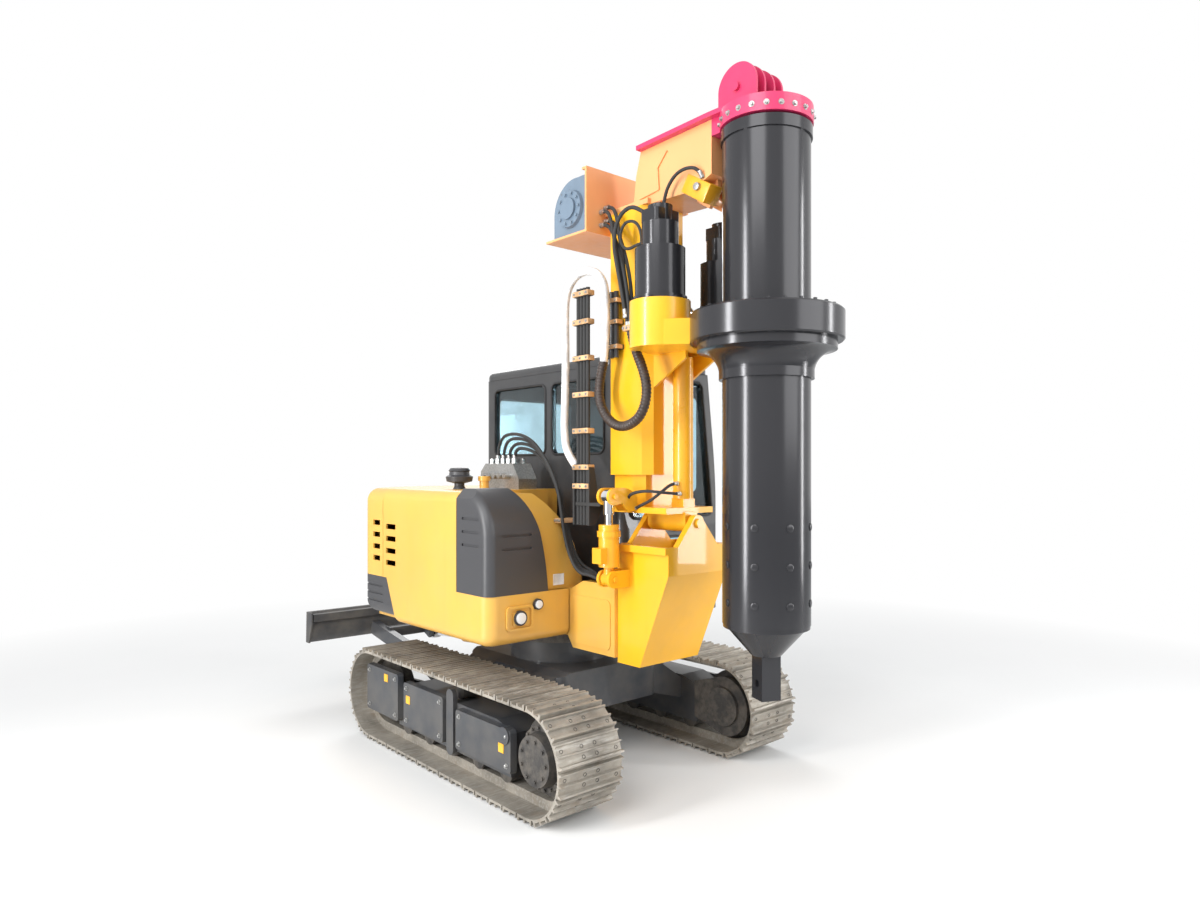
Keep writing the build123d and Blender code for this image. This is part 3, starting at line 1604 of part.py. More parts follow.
# Hydraulic motors on the drums: radius, start and length of each step, over the drums
motor_steps = (
    (152, 0, 26),
    (142, 26, 272),
    (104, 298, 142),
    (70, 440, 100),
)
with BuildPart() as rotary_motors:
    for radius, low, length in motor_steps:
        with BuildSketch(Plane.XY.offset(drum_top + low)):
            with Locations(*drum_spots):
                Circle(radius)
        extrude(amount=length)
    with BuildSketch(Plane.XY.offset(drum_top + 440)):
        with Locations(*drum_spots):
            RectangleRounded(190, 130, 20)
    extrude(amount=70)
rotary_motors.part.label = "rotary_motors"
export_step(rotary_motors.part, "parts/rotary_motors.step")

# Head: the deep box from the sleeve's top to the kelly's bearing, with a clevis below
with BuildPart() as head_frame:
    with BuildSketch(Plane.YZ):
        add(
            flat(
                (head_rear, sleeve_top),
                (head_rear - 25, sleeve_top + 190),
                (head_rear - 65, head_slope),
                (head_front, cap_top),
                (head_front, sleeve_top + 50),
                (head_front + 151, sleeve_top - 10),
                (sleeve_front, sleeve_top),
            )
        )
    extrude(amount=head_half, both=True)
    with BuildSketch(Plane.XY.offset(sleeve_top)):
        with Locations((0, column_mid)):
            Rectangle(2 * sleeve_half, 2 * sleeve_deep)
    extrude(amount=30)
    for side in (-1, 1):
        with BuildSketch(Plane.YZ.offset(side * 62)):
            add(
                flat(
                    (head_front + 20, sleeve_top + 90),
                    (head_front + 20, sleeve_top - 20),
                    (head_front + 84, head_low),
                    (head_front + 170, head_low + 55),
                    (head_front + 200, sleeve_top + 40),
                )
            )
        extrude(amount=13, both=True)
    with BuildSketch(Plane.YZ):
        with Locations((head_front + 96, head_low + 58)):
            Circle(26)
    extrude(amount=88, both=True)
    # Raised panel on each side of the box
    for side in (-1, 1):
        with BuildSketch(Plane.YZ.offset(side * head_half)):
            add(
                flat(
                    (head_rear - 60, sleeve_top + 40),
                    (head_rear - 105, cap_top - 90),
                    (head_rear - 290, cap_top - 75),
                    (head_rear - 215, sleeve_top + 190),
                    (head_rear - 225, sleeve_top + 60),
                )
            )
        extrude(amount=side * 10)
head_frame.part.label = "head_frame"
export_step(head_frame.part, "parts/head_frame.step")

# Sheave block: bearing cap over the kelly, top plate of the head, and four sheave plates
with BuildPart() as sheave_block:
    with BuildSketch(Plane.XY.offset(cap_low)):
        with Locations((0, kelly_y)):
            Circle(cap_radius)
    extrude(amount=cap_depth)
    with BuildSketch(Plane.XY.offset(cap_low)):
        with Locations((0, (head_front + kelly_y) / 2)):
            Rectangle(2 * head_half, head_front - kelly_y)
    extrude(amount=cap_depth)
    with BuildSketch(Plane.YZ):
        add(
            flat(
                (head_rear - 65, head_slope),
                (head_rear - 65, head_slope + cap_plate),
                (head_front, cap_top + cap_plate),
                (sheave_y - 150, cap_top + cap_plate),
                (sheave_y - 150, cap_top),
                (head_front, cap_top),
            )
        )
    extrude(amount=head_half + 40, both=True)
    for x in sheave_spots:
        with BuildSketch(Plane.YZ.offset(x)):
            with BuildLine():
                Line(
                    (sheave_y + sheave_guard, cap_top + past),
                    (sheave_y - sheave_guard, cap_top + past),
                )
                Line((sheave_y - sheave_guard, cap_top + past), (sheave_y - sheave_guard, sheave_z))
                ThreePointArc(
                    (sheave_y - sheave_guard, sheave_z),
                    (sheave_y, sheave_z + sheave_guard),
                    (sheave_y + sheave_guard, sheave_z),
                )
                Line((sheave_y + sheave_guard, sheave_z), (sheave_y + sheave_guard, cap_top + past))
            make_face()
        extrude(amount=sheave_plate / 2, both=True)
    with BuildSketch(Plane.YZ):
        with Locations((sheave_y, sheave_z)):
            Circle(sheave_pin)
    extrude(amount=sheave_spots[-1] + 25, both=True)
sheave_block.part.label = "sheave_block"
export_step(sheave_block.part, "parts/sheave_block.step")

# Sheave between the middle plates
with BuildPart() as rope_sheave:
    with BuildSketch(Plane.YZ):
        with Locations((sheave_y, sheave_z)):
            Circle(sheave_radius)
            Circle(sheave_pin + pin_fit, mode=Mode.SUBTRACT)
    extrude(amount=24, both=True)
rope_sheave.part.label = "rope_sheave"
export_step(rope_sheave.part, "parts/rope_sheave.step")

# Winch frame behind the sleeve's top: a shelf and a front wall with a lip round its edge
with BuildPart() as winch_frame:
    with BuildSketch(Plane.YZ):
        with Locations(((sleeve_rear + shelf_reach) / 2, shelf_low + winch_plate / 2)):
            Rectangle(shelf_reach - sleeve_rear, winch_plate)
    extrude(amount=winch_wall, both=True)
    with BuildSketch(Plane.XZ.offset(-sleeve_rear)):
        with Locations((0, (shelf_low + winch_top) / 2)):
            Rectangle(2 * winch_wall, winch_top - shelf_low)
    extrude(amount=-winch_plate)
    with BuildSketch(Plane.XZ.offset(-sleeve_rear)):
        with Locations((0, winch_top + winch_plate / 2)):
            Rectangle(2 * winch_wall, winch_plate)
    extrude(amount=-3 * winch_plate)
winch_frame.part.label = "winch_frame"
export_step(winch_frame.part, "parts/winch_frame.step")

# Winch side plates with round backs, standing on the shelf, and the fixed axle between them
side_front = sleeve_rear + winch_plate
side_rear = shelf_reach - 22
side_low = shelf_low + winch_plate
with BuildPart() as winch_sides:
    for side in (-1, 1):
        with BuildSketch(Plane.YZ.offset(side * winch_half)):
            with BuildLine():
                Polyline(
                    (side_front, winch_top - 8),
                    (side_front, side_low),
                    (side_rear, side_low),
                    (side_rear, side_low + 150),
                )
                ThreePointArc(
                    (side_rear, side_low + 150),
                    (winch_y + 95, winch_z + 145),
                    (winch_y - 60, winch_top - 8),
                )
                Line((winch_y - 60, winch_top - 8), (side_front, winch_top - 8))
            make_face()
            with Locations((winch_y, winch_z)):
                Circle(drum_core + 14, mode=Mode.SUBTRACT)
        extrude(amount=-side * winch_plate)
        # Bearing bridge across the round hole, with the fixed axle's end
        with BuildSketch(Plane.YZ.offset(side * winch_half)):
            with Locations((winch_y, winch_z)):
                Circle(drum_core + 54)
        extrude(amount=side * 22, taper=18)
        with BuildSketch(Plane.YZ.offset(side * (winch_half + 22))):
            with Locations((winch_y, winch_z)):
                Circle(drum_core)
        extrude(amount=side * 16)
    with BuildSketch(Plane.YZ):
        with Locations((winch_y, winch_z)):
            Circle(drum_axle)
    extrude(amount=winch_half + 5, both=True)
winch_sides.part.label = "winch_sides"
export_step(winch_sides.part, "parts/winch_sides.step")

# Winch drum with two flanges, turning on the side plates' axle
drum_half = winch_half - winch_plate - 12
with BuildPart() as winch_drum:
    with BuildSketch(Plane.YZ):
        with Locations((winch_y, winch_z)):
            Circle(drum_core)
    extrude(amount=drum_half, both=True)
    for side in (-1, 1):
        with BuildSketch(Plane.YZ.offset(side * drum_half)):
            with Locations((winch_y, winch_z)):
                Circle(flange_radius)
        extrude(amount=-side * 12)
    with BuildSketch(Plane.YZ):
        with Locations((winch_y, winch_z)):
            Circle(drum_axle + pin_fit)
    extrude(amount=drum_half + past, both=True, mode=Mode.SUBTRACT)
winch_drum.part.label = "winch_drum"
export_step(winch_drum.part, "parts/winch_drum.step")

# Hose rack on the sleeve's right face: two hoses between two clamp rails
rack_x = -sleeve_half - 40
rack_y = -760
rack_low = 2560
rack_top = 2960
with BuildPart() as hose_rack:
    for y in (-40, 0, 40):
        with BuildSketch(Plane.XY.offset(rack_low)):
            with Locations((rack_x, rack_y + y)):
                Circle(16)
        extrude(amount=rack_top - rack_low)
    for z in (rack_low + 50, (rack_low + rack_top) / 2, rack_top - 70):
        with BuildSketch(Plane.XY.offset(z)):
            with Locations(((rack_x - 22 - sleeve_half) / 2, rack_y)):
                Rectangle(-(rack_x - 22) - sleeve_half, 130)
        extrude(amount=30)
hose_rack.part.label = "hose_rack"
export_step(hose_rack.part, "parts/hose_rack.step")

# Kelly: three tubes, each with a collar below that guides the next one inside it
with BuildPart() as kelly_tube_1:
    with BuildSketch(Plane.XY.offset(tube_low)):
        with Locations((0, kelly_y)):
            Circle(tube_radius)
            Circle(tube_radius - tube_wall, mode=Mode.SUBTRACT)
    extrude(amount=tube_top - tube_low)
    with BuildSketch(Plane.XY.offset(tube_low)):
        with Locations((0, kelly_y)):
            Circle(tube_radius)
            Circle(tube_2 + running, mode=Mode.SUBTRACT)
    extrude(amount=collar_height)
    with BuildSketch(Plane.XY.offset(tube_top - rim_height)):
        with Locations((0, kelly_y)):
            Circle(tube_radius + 9)
            Circle(tube_radius - tube_wall, mode=Mode.SUBTRACT)
    extrude(amount=rim_height)
kelly_tube_1.part.label = "kelly_tube_1"
export_step(kelly_tube_1.part, "parts/kelly_tube_1.step")

with BuildPart() as kelly_tube_2:
    with BuildSketch(Plane.XY.offset(tube_low)):
        with Locations((0, kelly_y)):
            Circle(tube_2)
            Circle(tube_2 - tube_wall, mode=Mode.SUBTRACT)
    extrude(amount=tube_top - tube_step - tube_low)
    with BuildSketch(Plane.XY.offset(tube_low)):
        with Locations((0, kelly_y)):
            Circle(tube_2)
            Circle(tube_3 + running, mode=Mode.SUBTRACT)
    extrude(amount=collar_height)
kelly_tube_2.part.label = "kelly_tube_2"
export_step(kelly_tube_2.part, "parts/kelly_tube_2.step")

with BuildPart() as kelly_tube_3:
    with BuildSketch(Plane.XY.offset(tube_low)):
        with Locations((0, kelly_y)):
            Circle(tube_3)
            Circle(tube_3 - tube_wall, mode=Mode.SUBTRACT)
    extrude(amount=tube_top - 2 * tube_step - tube_low)
    with BuildSketch(Plane.XY.offset(tube_low)):
        with Locations((0, kelly_y)):
            Circle(tube_3)
            Circle(tube_4 + running, mode=Mode.SUBTRACT)
    extrude(amount=collar_height)
kelly_tube_3.part.label = "kelly_tube_3"
export_step(kelly_tube_3.part, "parts/kelly_tube_3.step")

# Innermost bar: tube, foot plate, cone and square stub with its cross bore
stub_plane = Plane(origin=(0, kelly_y, 0), x_dir=Vector(1, 0).rotate(Axis.Z, stub_turn))
with BuildPart() as kelly_bar:
    with BuildSketch(Plane.XY.offset(tube_low - running)):
        with Locations((0, kelly_y)):
            Circle(tube_4)
            Circle(tube_4 - tube_wall, mode=Mode.SUBTRACT)
    extrude(amount=tube_top - 3 * tube_step - tube_low)
    with BuildSketch(Plane.XY.offset(cone_top)):
        with Locations((0, kelly_y)):
            Circle(tube_radius - 4)
    extrude(amount=tube_low - running - cone_top)
    with BuildSketch(Plane.XY.offset(cone_top)):
        with Locations((0, kelly_y)):
            Circle(cone_radius)
    with BuildSketch(Plane.XY.offset(stub_top)):
        with Locations((0, kelly_y)):
            Circle(stub_width * 0.72)
    loft()
    with BuildSketch(stub_plane.offset(stub_low)):
        Rectangle(stub_width, stub_width)
    extrude(amount=stub_top - stub_low + past)
    with BuildSketch(
        Plane(
            origin=(0, kelly_y, stub_low + 86),
            x_dir=(0, 0, 1),
            z_dir=Vector(1, 0).rotate(Axis.Z, stub_turn),
        )
    ):
        Circle(tool_bore)
    extrude(amount=stub_width, both=True, mode=Mode.SUBTRACT)
kelly_bar.part.label = "kelly_bar"
export_step(kelly_bar.part, "parts/kelly_bar.step")
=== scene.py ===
"""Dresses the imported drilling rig: paint, fasteners, hoses, lamps and the studio around it."""

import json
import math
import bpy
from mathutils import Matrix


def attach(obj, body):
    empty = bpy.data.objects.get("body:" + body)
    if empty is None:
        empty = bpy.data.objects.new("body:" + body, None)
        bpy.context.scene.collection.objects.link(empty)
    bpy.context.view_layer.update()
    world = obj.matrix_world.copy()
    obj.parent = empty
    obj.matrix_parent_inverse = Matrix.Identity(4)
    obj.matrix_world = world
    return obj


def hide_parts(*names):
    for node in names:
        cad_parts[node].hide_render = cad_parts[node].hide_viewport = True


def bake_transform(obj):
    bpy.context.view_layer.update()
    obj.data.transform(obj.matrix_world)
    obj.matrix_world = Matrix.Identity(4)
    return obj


bl_info = {
    "name": "Rotary Drilling Rig",
    "version": (1, 0, 0),
    "blender": (4, 5, 0),
    "location": "View3D > Sidebar > Drilling Rig",
    "description": "Finishes the tracked rotary drilling rig and lights it in a plain studio",
    "category": "Add Mesh",
}

import bmesh
import bpy
from mathutils import Matrix, Vector

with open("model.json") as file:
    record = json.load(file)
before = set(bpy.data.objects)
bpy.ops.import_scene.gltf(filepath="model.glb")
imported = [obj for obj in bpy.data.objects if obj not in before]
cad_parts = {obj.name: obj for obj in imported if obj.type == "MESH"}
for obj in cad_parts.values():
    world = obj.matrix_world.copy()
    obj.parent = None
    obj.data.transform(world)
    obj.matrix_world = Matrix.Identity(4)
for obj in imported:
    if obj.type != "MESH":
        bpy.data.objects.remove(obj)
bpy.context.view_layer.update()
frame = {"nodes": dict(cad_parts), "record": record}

UP = (0, 0, 1)
DOWN = (0, 0, -1)
FRONT = (0, -1, 0)
LEFT = (1, 0, 0)
RIGHT = (-1, 0, 0)

# Which finish each material slot of the record takes
FINISHES = {
    "body_yellow": "warm_paint",
    "mast_yellow": "mast_paint",
    "head_orange": "head_paint",
    "head_pink": "cap_paint",
    "gloss_black": "gloss_black",
    "cover_black": "cover_black",
    "frame_charcoal": "frame_paint",
    "cast_dark": "dark_casting",
    "shoe_steel": "worn_shoe",
    "blade_charcoal": "blade_paint",
    "cylinder_yellow": "cylinder_paint",
    "rod_chrome": "chrome_rod",
    "cab_dark": "cab_paint",
    "window_glass": "tinted_glass",
    "seat_fabric": "seat_cloth",
    "console_plastic": "console_plastic",
    "engine_grey": "engine_casting",
    "valve_steel": "zinc_steel",
    "hose_rubber": "hose_rubber",
    # The winch takes dark paint whose blue-grey tint is a painted reflection of the sky
    "winch_blue": "drum_paint",
}

# Each free hose: body, diameter, stiffness, length and the points of its line
HOSES = {
    "loop_sleeve": ("sledge", 0.058, "stiff", 1.23, (
        (-0.292, -1.010, 2.690), (-0.296, -1.045, 2.580), (-0.306, -1.120, 2.465), (-0.310, -1.168, 2.330),
        (-0.306, -1.120, 2.190), (-0.300, -0.980, 2.125), (-0.298, -0.850, 2.150), (-0.296, -0.745, 2.260),
        (-0.294, -0.725, 2.400), (-0.292, -0.772, 2.530),
    )),
    "arch_hose": ("mast", 0.050, "stiff", 2.02, (
        (-0.292, -0.772, 2.530), (-0.292, -0.790, 2.690), (-0.292, -0.790, 2.870), (-0.293, -0.782, 3.000),
        (-0.295, -0.705, 3.085), (-0.298, -0.600, 3.108), (-0.301, -0.495, 3.080), (-0.304, -0.425, 2.985),
        (-0.305, -0.418, 2.830), (-0.304, -0.424, 2.600), (-0.302, -0.412, 2.300), (-0.300, -0.402, 2.130),
        (-0.300, -0.425, 1.985), (-0.300, -0.520, 1.905),
    )),
    "drum_hose_1": ("sledge", 0.022, "medium", 0.94, (
        (-0.180, -0.657, 3.500), (-0.190, -0.730, 3.500), (-0.222, -0.810, 3.42), (-0.262, -0.880, 3.26),
        (-0.278, -0.935, 3.06), (-0.280, -0.975, 2.88), (-0.281, -0.998, 2.690),
    )),
    "drum_hose_2": ("sledge", 0.022, "medium", 0.91, (
        (-0.215, -0.657, 3.470), (-0.226, -0.730, 3.468), (-0.256, -0.800, 3.38), (-0.294, -0.872, 3.22),
        (-0.304, -0.930, 3.04), (-0.304, -0.972, 2.88), (-0.304, -0.998, 2.690),
    )),
    "drum_hose_3": ("sledge", 0.022, "medium", 0.88, (
        (-0.180, -0.657, 3.420), (-0.186, -0.725, 3.415), (-0.208, -0.800, 3.34), (-0.248, -0.905, 3.18),
        (-0.270, -0.975, 3.02), (-0.278, -1.004, 2.86), (-0.281, -1.021, 2.690),
    )),
    "drum_hose_4": ("sledge", 0.022, "medium", 0.85, (
        (-0.215, -0.657, 3.390), (-0.224, -0.725, 3.384), (-0.250, -0.815, 3.30), (-0.290, -0.915, 3.14),
        (-0.304, -0.975, 2.99), (-0.305, -1.003, 2.85), (-0.304, -1.021, 2.690),
    )),
    "motor_hose_1": ("sledge", 0.024, "medium", 0.90, (
        (-0.312, -0.990, 2.760), (-0.324, -0.970, 2.910), (-0.326, -0.925, 3.080), (-0.316, -0.885, 3.220),
        (-0.302, -0.900, 3.355), (-0.290, -0.990, 3.415), (-0.280, -1.080, 3.375), (-0.272, -1.162, 3.310),
    )),
    "motor_hose_2": ("sledge", 0.020, "medium", 0.46, (
        (-0.200, -1.175, 3.325), (-0.198, -1.182, 3.440), (-0.196, -1.255, 3.540), (-0.190, -1.345, 3.565),
        (-0.174, -1.425, 3.545), (-0.154, -1.440, 3.490),
    )),
    "motor_hose_3": ("sledge", 0.018, "medium", 0.96, (
        (-0.270, -1.150, 3.180), (-0.276, -1.060, 3.185), (-0.282, -0.955, 3.160), (-0.286, -0.900, 3.240),
        (-0.286, -0.940, 3.330), (-0.280, -1.030, 3.325), (-0.272, -1.080, 3.250), (-0.262, -1.060, 3.120),
        (-0.255, -1.010, 3.000), (-0.245, -1.035, 2.835),
    )),
    "valve_hose_1": ("upper", 0.022, "medium", 1.32, (
        (-0.292, 0.150, 1.935), (-0.292, 0.150, 2.02), (-0.280, 0.050, 2.030), (-0.272, -0.100, 1.985),
        (-0.264, -0.225, 1.86), (-0.262, -0.305, 1.71), (-0.262, -0.372, 1.56), (-0.258, -0.425, 1.40),
        (-0.246, -0.500, 1.28), (-0.205, -0.600, 1.24), (-0.190, -0.655, 1.185),
    )),
    "valve_hose_2": ("upper", 0.022, "medium", 1.47, (
        (-0.292, 0.216, 1.935), (-0.292, 0.214, 2.01), (-0.292, 0.120, 2.070), (-0.292, -0.090, 2.035),
        (-0.289, -0.240, 1.90), (-0.287, -0.335, 1.73), (-0.287, -0.395, 1.56), (-0.284, -0.440, 1.40),
        (-0.272, -0.510, 1.26), (-0.232, -0.620, 1.235), (-0.215, -0.690, 1.185),
    )),
    "valve_hose_3": ("upper", 0.022, "medium", 1.62, (
        (-0.292, 0.282, 1.935), (-0.293, 0.282, 2.02), (-0.300, 0.190, 2.105), (-0.310, -0.070, 2.075),
        (-0.314, -0.245, 1.93), (-0.312, -0.360, 1.75), (-0.312, -0.410, 1.57), (-0.309, -0.452, 1.40),
        (-0.298, -0.530, 1.25), (-0.258, -0.640, 1.235), (-0.240, -0.720, 1.185),
    )),
    "valve_hose_4": ("upper", 0.022, "medium", 1.76, (
        (-0.292, 0.348, 1.935), (-0.294, 0.350, 2.03), (-0.306, 0.250, 2.135), (-0.328, -0.050, 2.110),
        (-0.338, -0.255, 1.965), (-0.337, -0.385, 1.77), (-0.337, -0.425, 1.58), (-0.334, -0.466, 1.40),
        (-0.324, -0.560, 1.24), (-0.280, -0.670, 1.235), (-0.262, -0.750, 1.185),
    )),
    "feed_hose_1": ("mast", 0.018, "medium", 0.38, (
        (-0.058, -1.160, 1.800), (-0.110, -1.165, 1.800), (-0.170, -1.150, 1.76), (-0.200, -1.080, 1.70),
        (-0.205, -0.985, 1.665), (-0.200, -0.930, 1.640),
    )),
    "feed_hose_2": ("mast", 0.018, "medium", 0.48, (
        (-0.058, -1.180, 1.740), (-0.120, -1.190, 1.742), (-0.205, -1.180, 1.75), (-0.262, -1.090, 1.76),
        (-0.275, -0.985, 1.74), (-0.245, -0.930, 1.70), (-0.195, -0.900, 1.652),
    )),
}

# Corrugated hoses: distance from ring to ring, depth of the grooves and finish
RIBBED = {
    "loop_sleeve": (0.020, 0.0035, "sleeve_brown"),
    "arch_hose": (0.011, 0.0016, "wrap_white"),
}
HOSE_SIDES = 18

# Plastic clamps on the hoses: name, body, size and places
CLAMPS = (
    ("ladder_clamps", "mast", (0.056, 0.150, 0.032), (
        (-0.300, -0.590, 1.780), (-0.300, -0.590, 1.896), (-0.300, -0.590, 2.120),
        (-0.300, -0.590, 2.343), (-0.300, -0.590, 2.567), (-0.300, -0.590, 2.790),
        (-0.300, -0.590, 2.965),
    )),
    ("rack_clamps", "sledge", (0.050, 0.142, 0.026), (
        (-0.215, -0.760, 2.625), (-0.215, -0.760, 2.775), (-0.215, -0.760, 2.905),
    )),
    ("valve_hose_clamp", "upper", (0.118, 0.052, 0.030), ((-0.299, -0.402, 1.560),)),
    ("bundle_clamp", "sledge", (0.072, 0.072, 0.034), ((-0.292, -1.010, 2.700),)),
)

# Track shoes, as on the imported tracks
WHEEL_REACH = 0.925
WHEEL_HEIGHT = 0.315
SHOE_RADIUS = 0.281
SHOE_PLATE = 0.014
SHOES = 40
TRACK_X = 0.775
SHOE_HOLES = (
    (-0.045, -0.026), (0.045, -0.026), (-0.045, 0.028), (0.045, 0.028),
    (-0.180, -0.026), (0.180, 0.028),
)

# Kelly: its line, the outer tube and the plug welds round its foot
KELLY_Y = -1.755
TUBE_RADIUS = 0.234
WELD_ROWS = (1.18, 1.38, 1.58)
WELDS_PER_ROW = 8

# Bolt circles: middle, radius, count and heading
RING_BOLTS = ((0, KELLY_Y, 2.719), 0.372, 28, UP)
# Pairs of bolt circles to the right and left: reach to the side, y and z, radius and count
DRUM_BOLTS = (0.270, (-1.225, 2.819), 0.154, 14)
HUB_BOLTS = (0.930, (-WHEEL_REACH, WHEEL_HEIGHT), 0.108, 9)
SPROCKET_BOLTS = (0.870, (-WHEEL_REACH, WHEEL_HEIGHT), 0.165, 18)
WINCH_BOLTS = (0.3015, (-0.450, 3.525), 0.096, 10)
# Bolts round the cap: height, radius, count, and the first and the step in degrees
CAP_BOLTS = (3.742, 0.246, 17, 130, 17.5)
# Covers of the track frame: rear, front, low and high edges, and how far in the bolts sit
COVER_FACE = 0.9295
TRACK_COVERS = (
    (-0.716, -0.127, 0.180, 0.430),
    (0.014, 0.530, 0.175, 0.470),
    (0.600, 1.070, 0.175, 0.500),
)
COVER_INSET = (0.045, 0.042)

# Window rubbers: middle, width, height, lean and heading
SCREEN_LEAN = 0.1025
SEAT_LEAN = 0.14
RIM_CORNER = 0.05
CAB_MIDDLE = 0.475
CAB_RIMS = (
    ((CAB_MIDDLE, -0.572, 2.035), 0.790, 0.949, -SCREEN_LEAN, 0.0),
    ((CAB_MIDDLE, -0.620, 1.240), 0.790, 0.380, 0.0, 0.0),
    ((CAB_MIDDLE, 0.960, 2.080), 0.720, 0.720, 0.0, 0.0),
    ((0.005, -0.160, 2.2395), 0.560, 0.500, 0.0, math.pi / 2),
    ((0.005, 0.510, 2.2395), 0.640, 0.500, 0.0, math.pi / 2),
)
DOOR_RIMS = (
    ((0.941, -0.060, 2.065), 0.740, 0.700, 0.0, math.pi / 2),
    ((0.941, -0.060, 1.355), 0.740, 0.500, 0.0, math.pi / 2),
)

# Blank plates on the near track frame's covers
COVER_PLATES = ((-0.9305, 0.776, 0.443), (-0.9305, 0.463, 0.356), (-0.9305, -0.619, 0.312))

# Lamp and reflector: place on the skirt's front and radius
LAMPS = (
    ("work_lamp", (-0.669, -0.428, 0.988), 0.046),
    ("round_reflector", (-0.535, -0.428, 1.058), 0.034),
)

# Seat: foot, folds and step of its bellows, then the mesh size and the most swell of its pads
BELLOWS_FOOT = 0.985
BELLOWS_FOLDS = 5
BELLOWS_STEP = 0.048
PAD_GRID = 0.008
PAD_SWELL = 0.012

# Tab on the rim of the gear housing: heading, reach from the kelly's line, and height
TAB_HEADING = (0.7471, -0.6647, 0.0)
TAB_REACH = 0.411
TAB_HEIGHT = 2.640
# Ribs on the engine's cover
ENGINE_RIBS = 8
RIB_PITCH = 0.08

# Soft lights: name, place, aim, width, height and power
LIGHTS = (
    ("key_light", (-6.5, -3.5, 7.5), (0, -0.6, 1.4), 5.0, 5.0, 380),
    ("fill_light", (1.5, -8.0, 4.5), (0, -0.6, 1.4), 5.0, 5.0, 260),
    ("back_light", (4.0, 6.5, 6.5), (0, 0.2, 1.6), 5.0, 5.0, 300),
    ("strip_light", (-5.9, 0.05, 2.7), (0, -1.7, 2.5), 0.7, 4.6, 330),
    ("side_strip", (4.6, -5.6, 2.9), (0, -1.7, 2.5), 0.5, 4.6, 170),
)
SKY_COLOUR = (0.93, 0.96, 1.0, 1.0)
SKY_STRENGTH = 0.55
# Distance from the rig at which the floor is all white
FLOOR_WHITE = 7.5

# Camera: place, heading, lens and shift
CAMERA_PLACE = (-3.5603, -4.463, 1.8742)
CAMERA_HEADING = -41.6648
CAMERA_LENS = 24.59
CAMERA_SHIFT = (-0.0048, 0.0173)


def deselect_all():
    """Leaves nothing selected, so that an operator acts only on its own piece."""
    if bpy.context.object and bpy.context.object.mode != "OBJECT":
        bpy.ops.object.mode_set(mode="OBJECT")
    bpy.ops.object.select_all(action="DESELECT")


def choose(*pieces):
    """Selects only these pieces and makes the first of them active."""
    deselect_all()
    for piece in pieces:
        piece.select_set(True)
    bpy.context.view_layer.objects.active = pieces[0]
    return pieces[0]


def settle(piece, name):
    """Names a finished piece and puts its place into its mesh."""
    choose(piece)
    bpy.ops.object.transform_apply(location=True, rotation=True, scale=True)
    piece.name = name
    piece.data.name = name
    return piece


class Tree:
    """A small helper that adds nodes to a node tree and joins them."""

    def __init__(self, tree):
        self.tree = tree

    def add(self, kind, **settings):
        node = self.tree.nodes.new(kind)
        for key, value in settings.items():
            setattr(node, key, value)
        return node

    def join(self, source, target):
        self.tree.links.new(source, target)

    def either(self, first, second):
        """The larger of two values: for kinds of ray, one or the other."""
        node = self.add("ShaderNodeMath", operation="MAXIMUM")
        self.join(first, node.inputs[0])
        self.join(second, node.inputs[1])
        return node.outputs[0]

    def mixed(self, share, first, second):
        """A mix of two shaders."""
        node = self.add("ShaderNodeMixShader")
        for source, target in zip((share, first, second), node.inputs):
            self.join(source, target)
        return node.outputs[0]


class Nodes(Tree):
    """The nodes of a new material, with its shader and its object coordinates."""

    def __init__(self, name):
        self.material = bpy.data.materials.new(name)
        self.material.use_nodes = True
        super().__init__(self.material.node_tree)
        self.shader = self.tree.nodes["Principled BSDF"]
        self.output = self.tree.nodes["Material Output"]
        self.place = self.add("ShaderNodeTexCoord").outputs["Object"]

    def skin(self, colour, rough):
        """Joins a colour and a roughness to the shader."""
        self.join(colour, self.shader.inputs["Base Color"])
        self.join(rough, self.shader.inputs["Roughness"])

    def stretched(self, scale):
        """Object coordinates stretched by a scale for each axis."""
        mapping = self.add("ShaderNodeMapping")
        mapping.inputs["Scale"].default_value = scale
        self.join(self.place, mapping.inputs["Vector"])
        return mapping.outputs["Vector"]

    def noise(self, scale, detail=3.0, place=None, roughness=0.55):
        node = self.add("ShaderNodeTexNoise")
        node.inputs["Scale"].default_value = scale
        node.inputs["Detail"].default_value = detail
        node.inputs["Roughness"].default_value = roughness
        self.join(place or self.place, node.inputs["Vector"])
        return node.outputs["Fac"]

    def spread(self, value, low, high, to_low=0.0, to_high=1.0):
        """A value between low and high, spread over another range."""
        node = self.add("ShaderNodeMapRange")
        node.inputs["From Min"].default_value = low
        node.inputs["From Max"].default_value = high
        node.inputs["To Min"].default_value = to_low
        node.inputs["To Max"].default_value = to_high
        self.join(value, node.inputs["Value"])
        return node.outputs["Result"]

    def times(self, first, second):
        node = self.add("ShaderNodeMath", operation="MULTIPLY")
        self.join(first, node.inputs[0])
        if isinstance(second, float):
            node.inputs[1].default_value = second
        else:
            self.join(second, node.inputs[1])
        return node.outputs[0]

    def blend(self, share, first, second):
        """Colour between first and second; each is a colour or a socket."""
        node = self.add("ShaderNodeMix", data_type="RGBA")
        self.join(share, node.inputs[0])
        for socket, colour in ((node.inputs[6], first), (node.inputs[7], second)):
            if isinstance(colour, tuple):
                socket.default_value = (*colour[:3], 1.0)
            else:
                self.join(colour, socket)
        return node.outputs[2]

    def height(self):
        split = self.add("ShaderNodeSeparateXYZ")
        self.join(self.place, split.inputs[0])
        return split.outputs["Z"]

    def bump(self, value, depth, strength=1.0):
        node = self.add("ShaderNodeBump")
        node.inputs["Distance"].default_value = depth
        node.inputs["Strength"].default_value = strength
        self.join(value, node.inputs["Height"])
        self.join(node.outputs["Normal"], self.shader.inputs["Normal"])

    def set(self, **values):
        for key, value in values.items():
            self.shader.inputs[key.replace("_", " ")].default_value = value


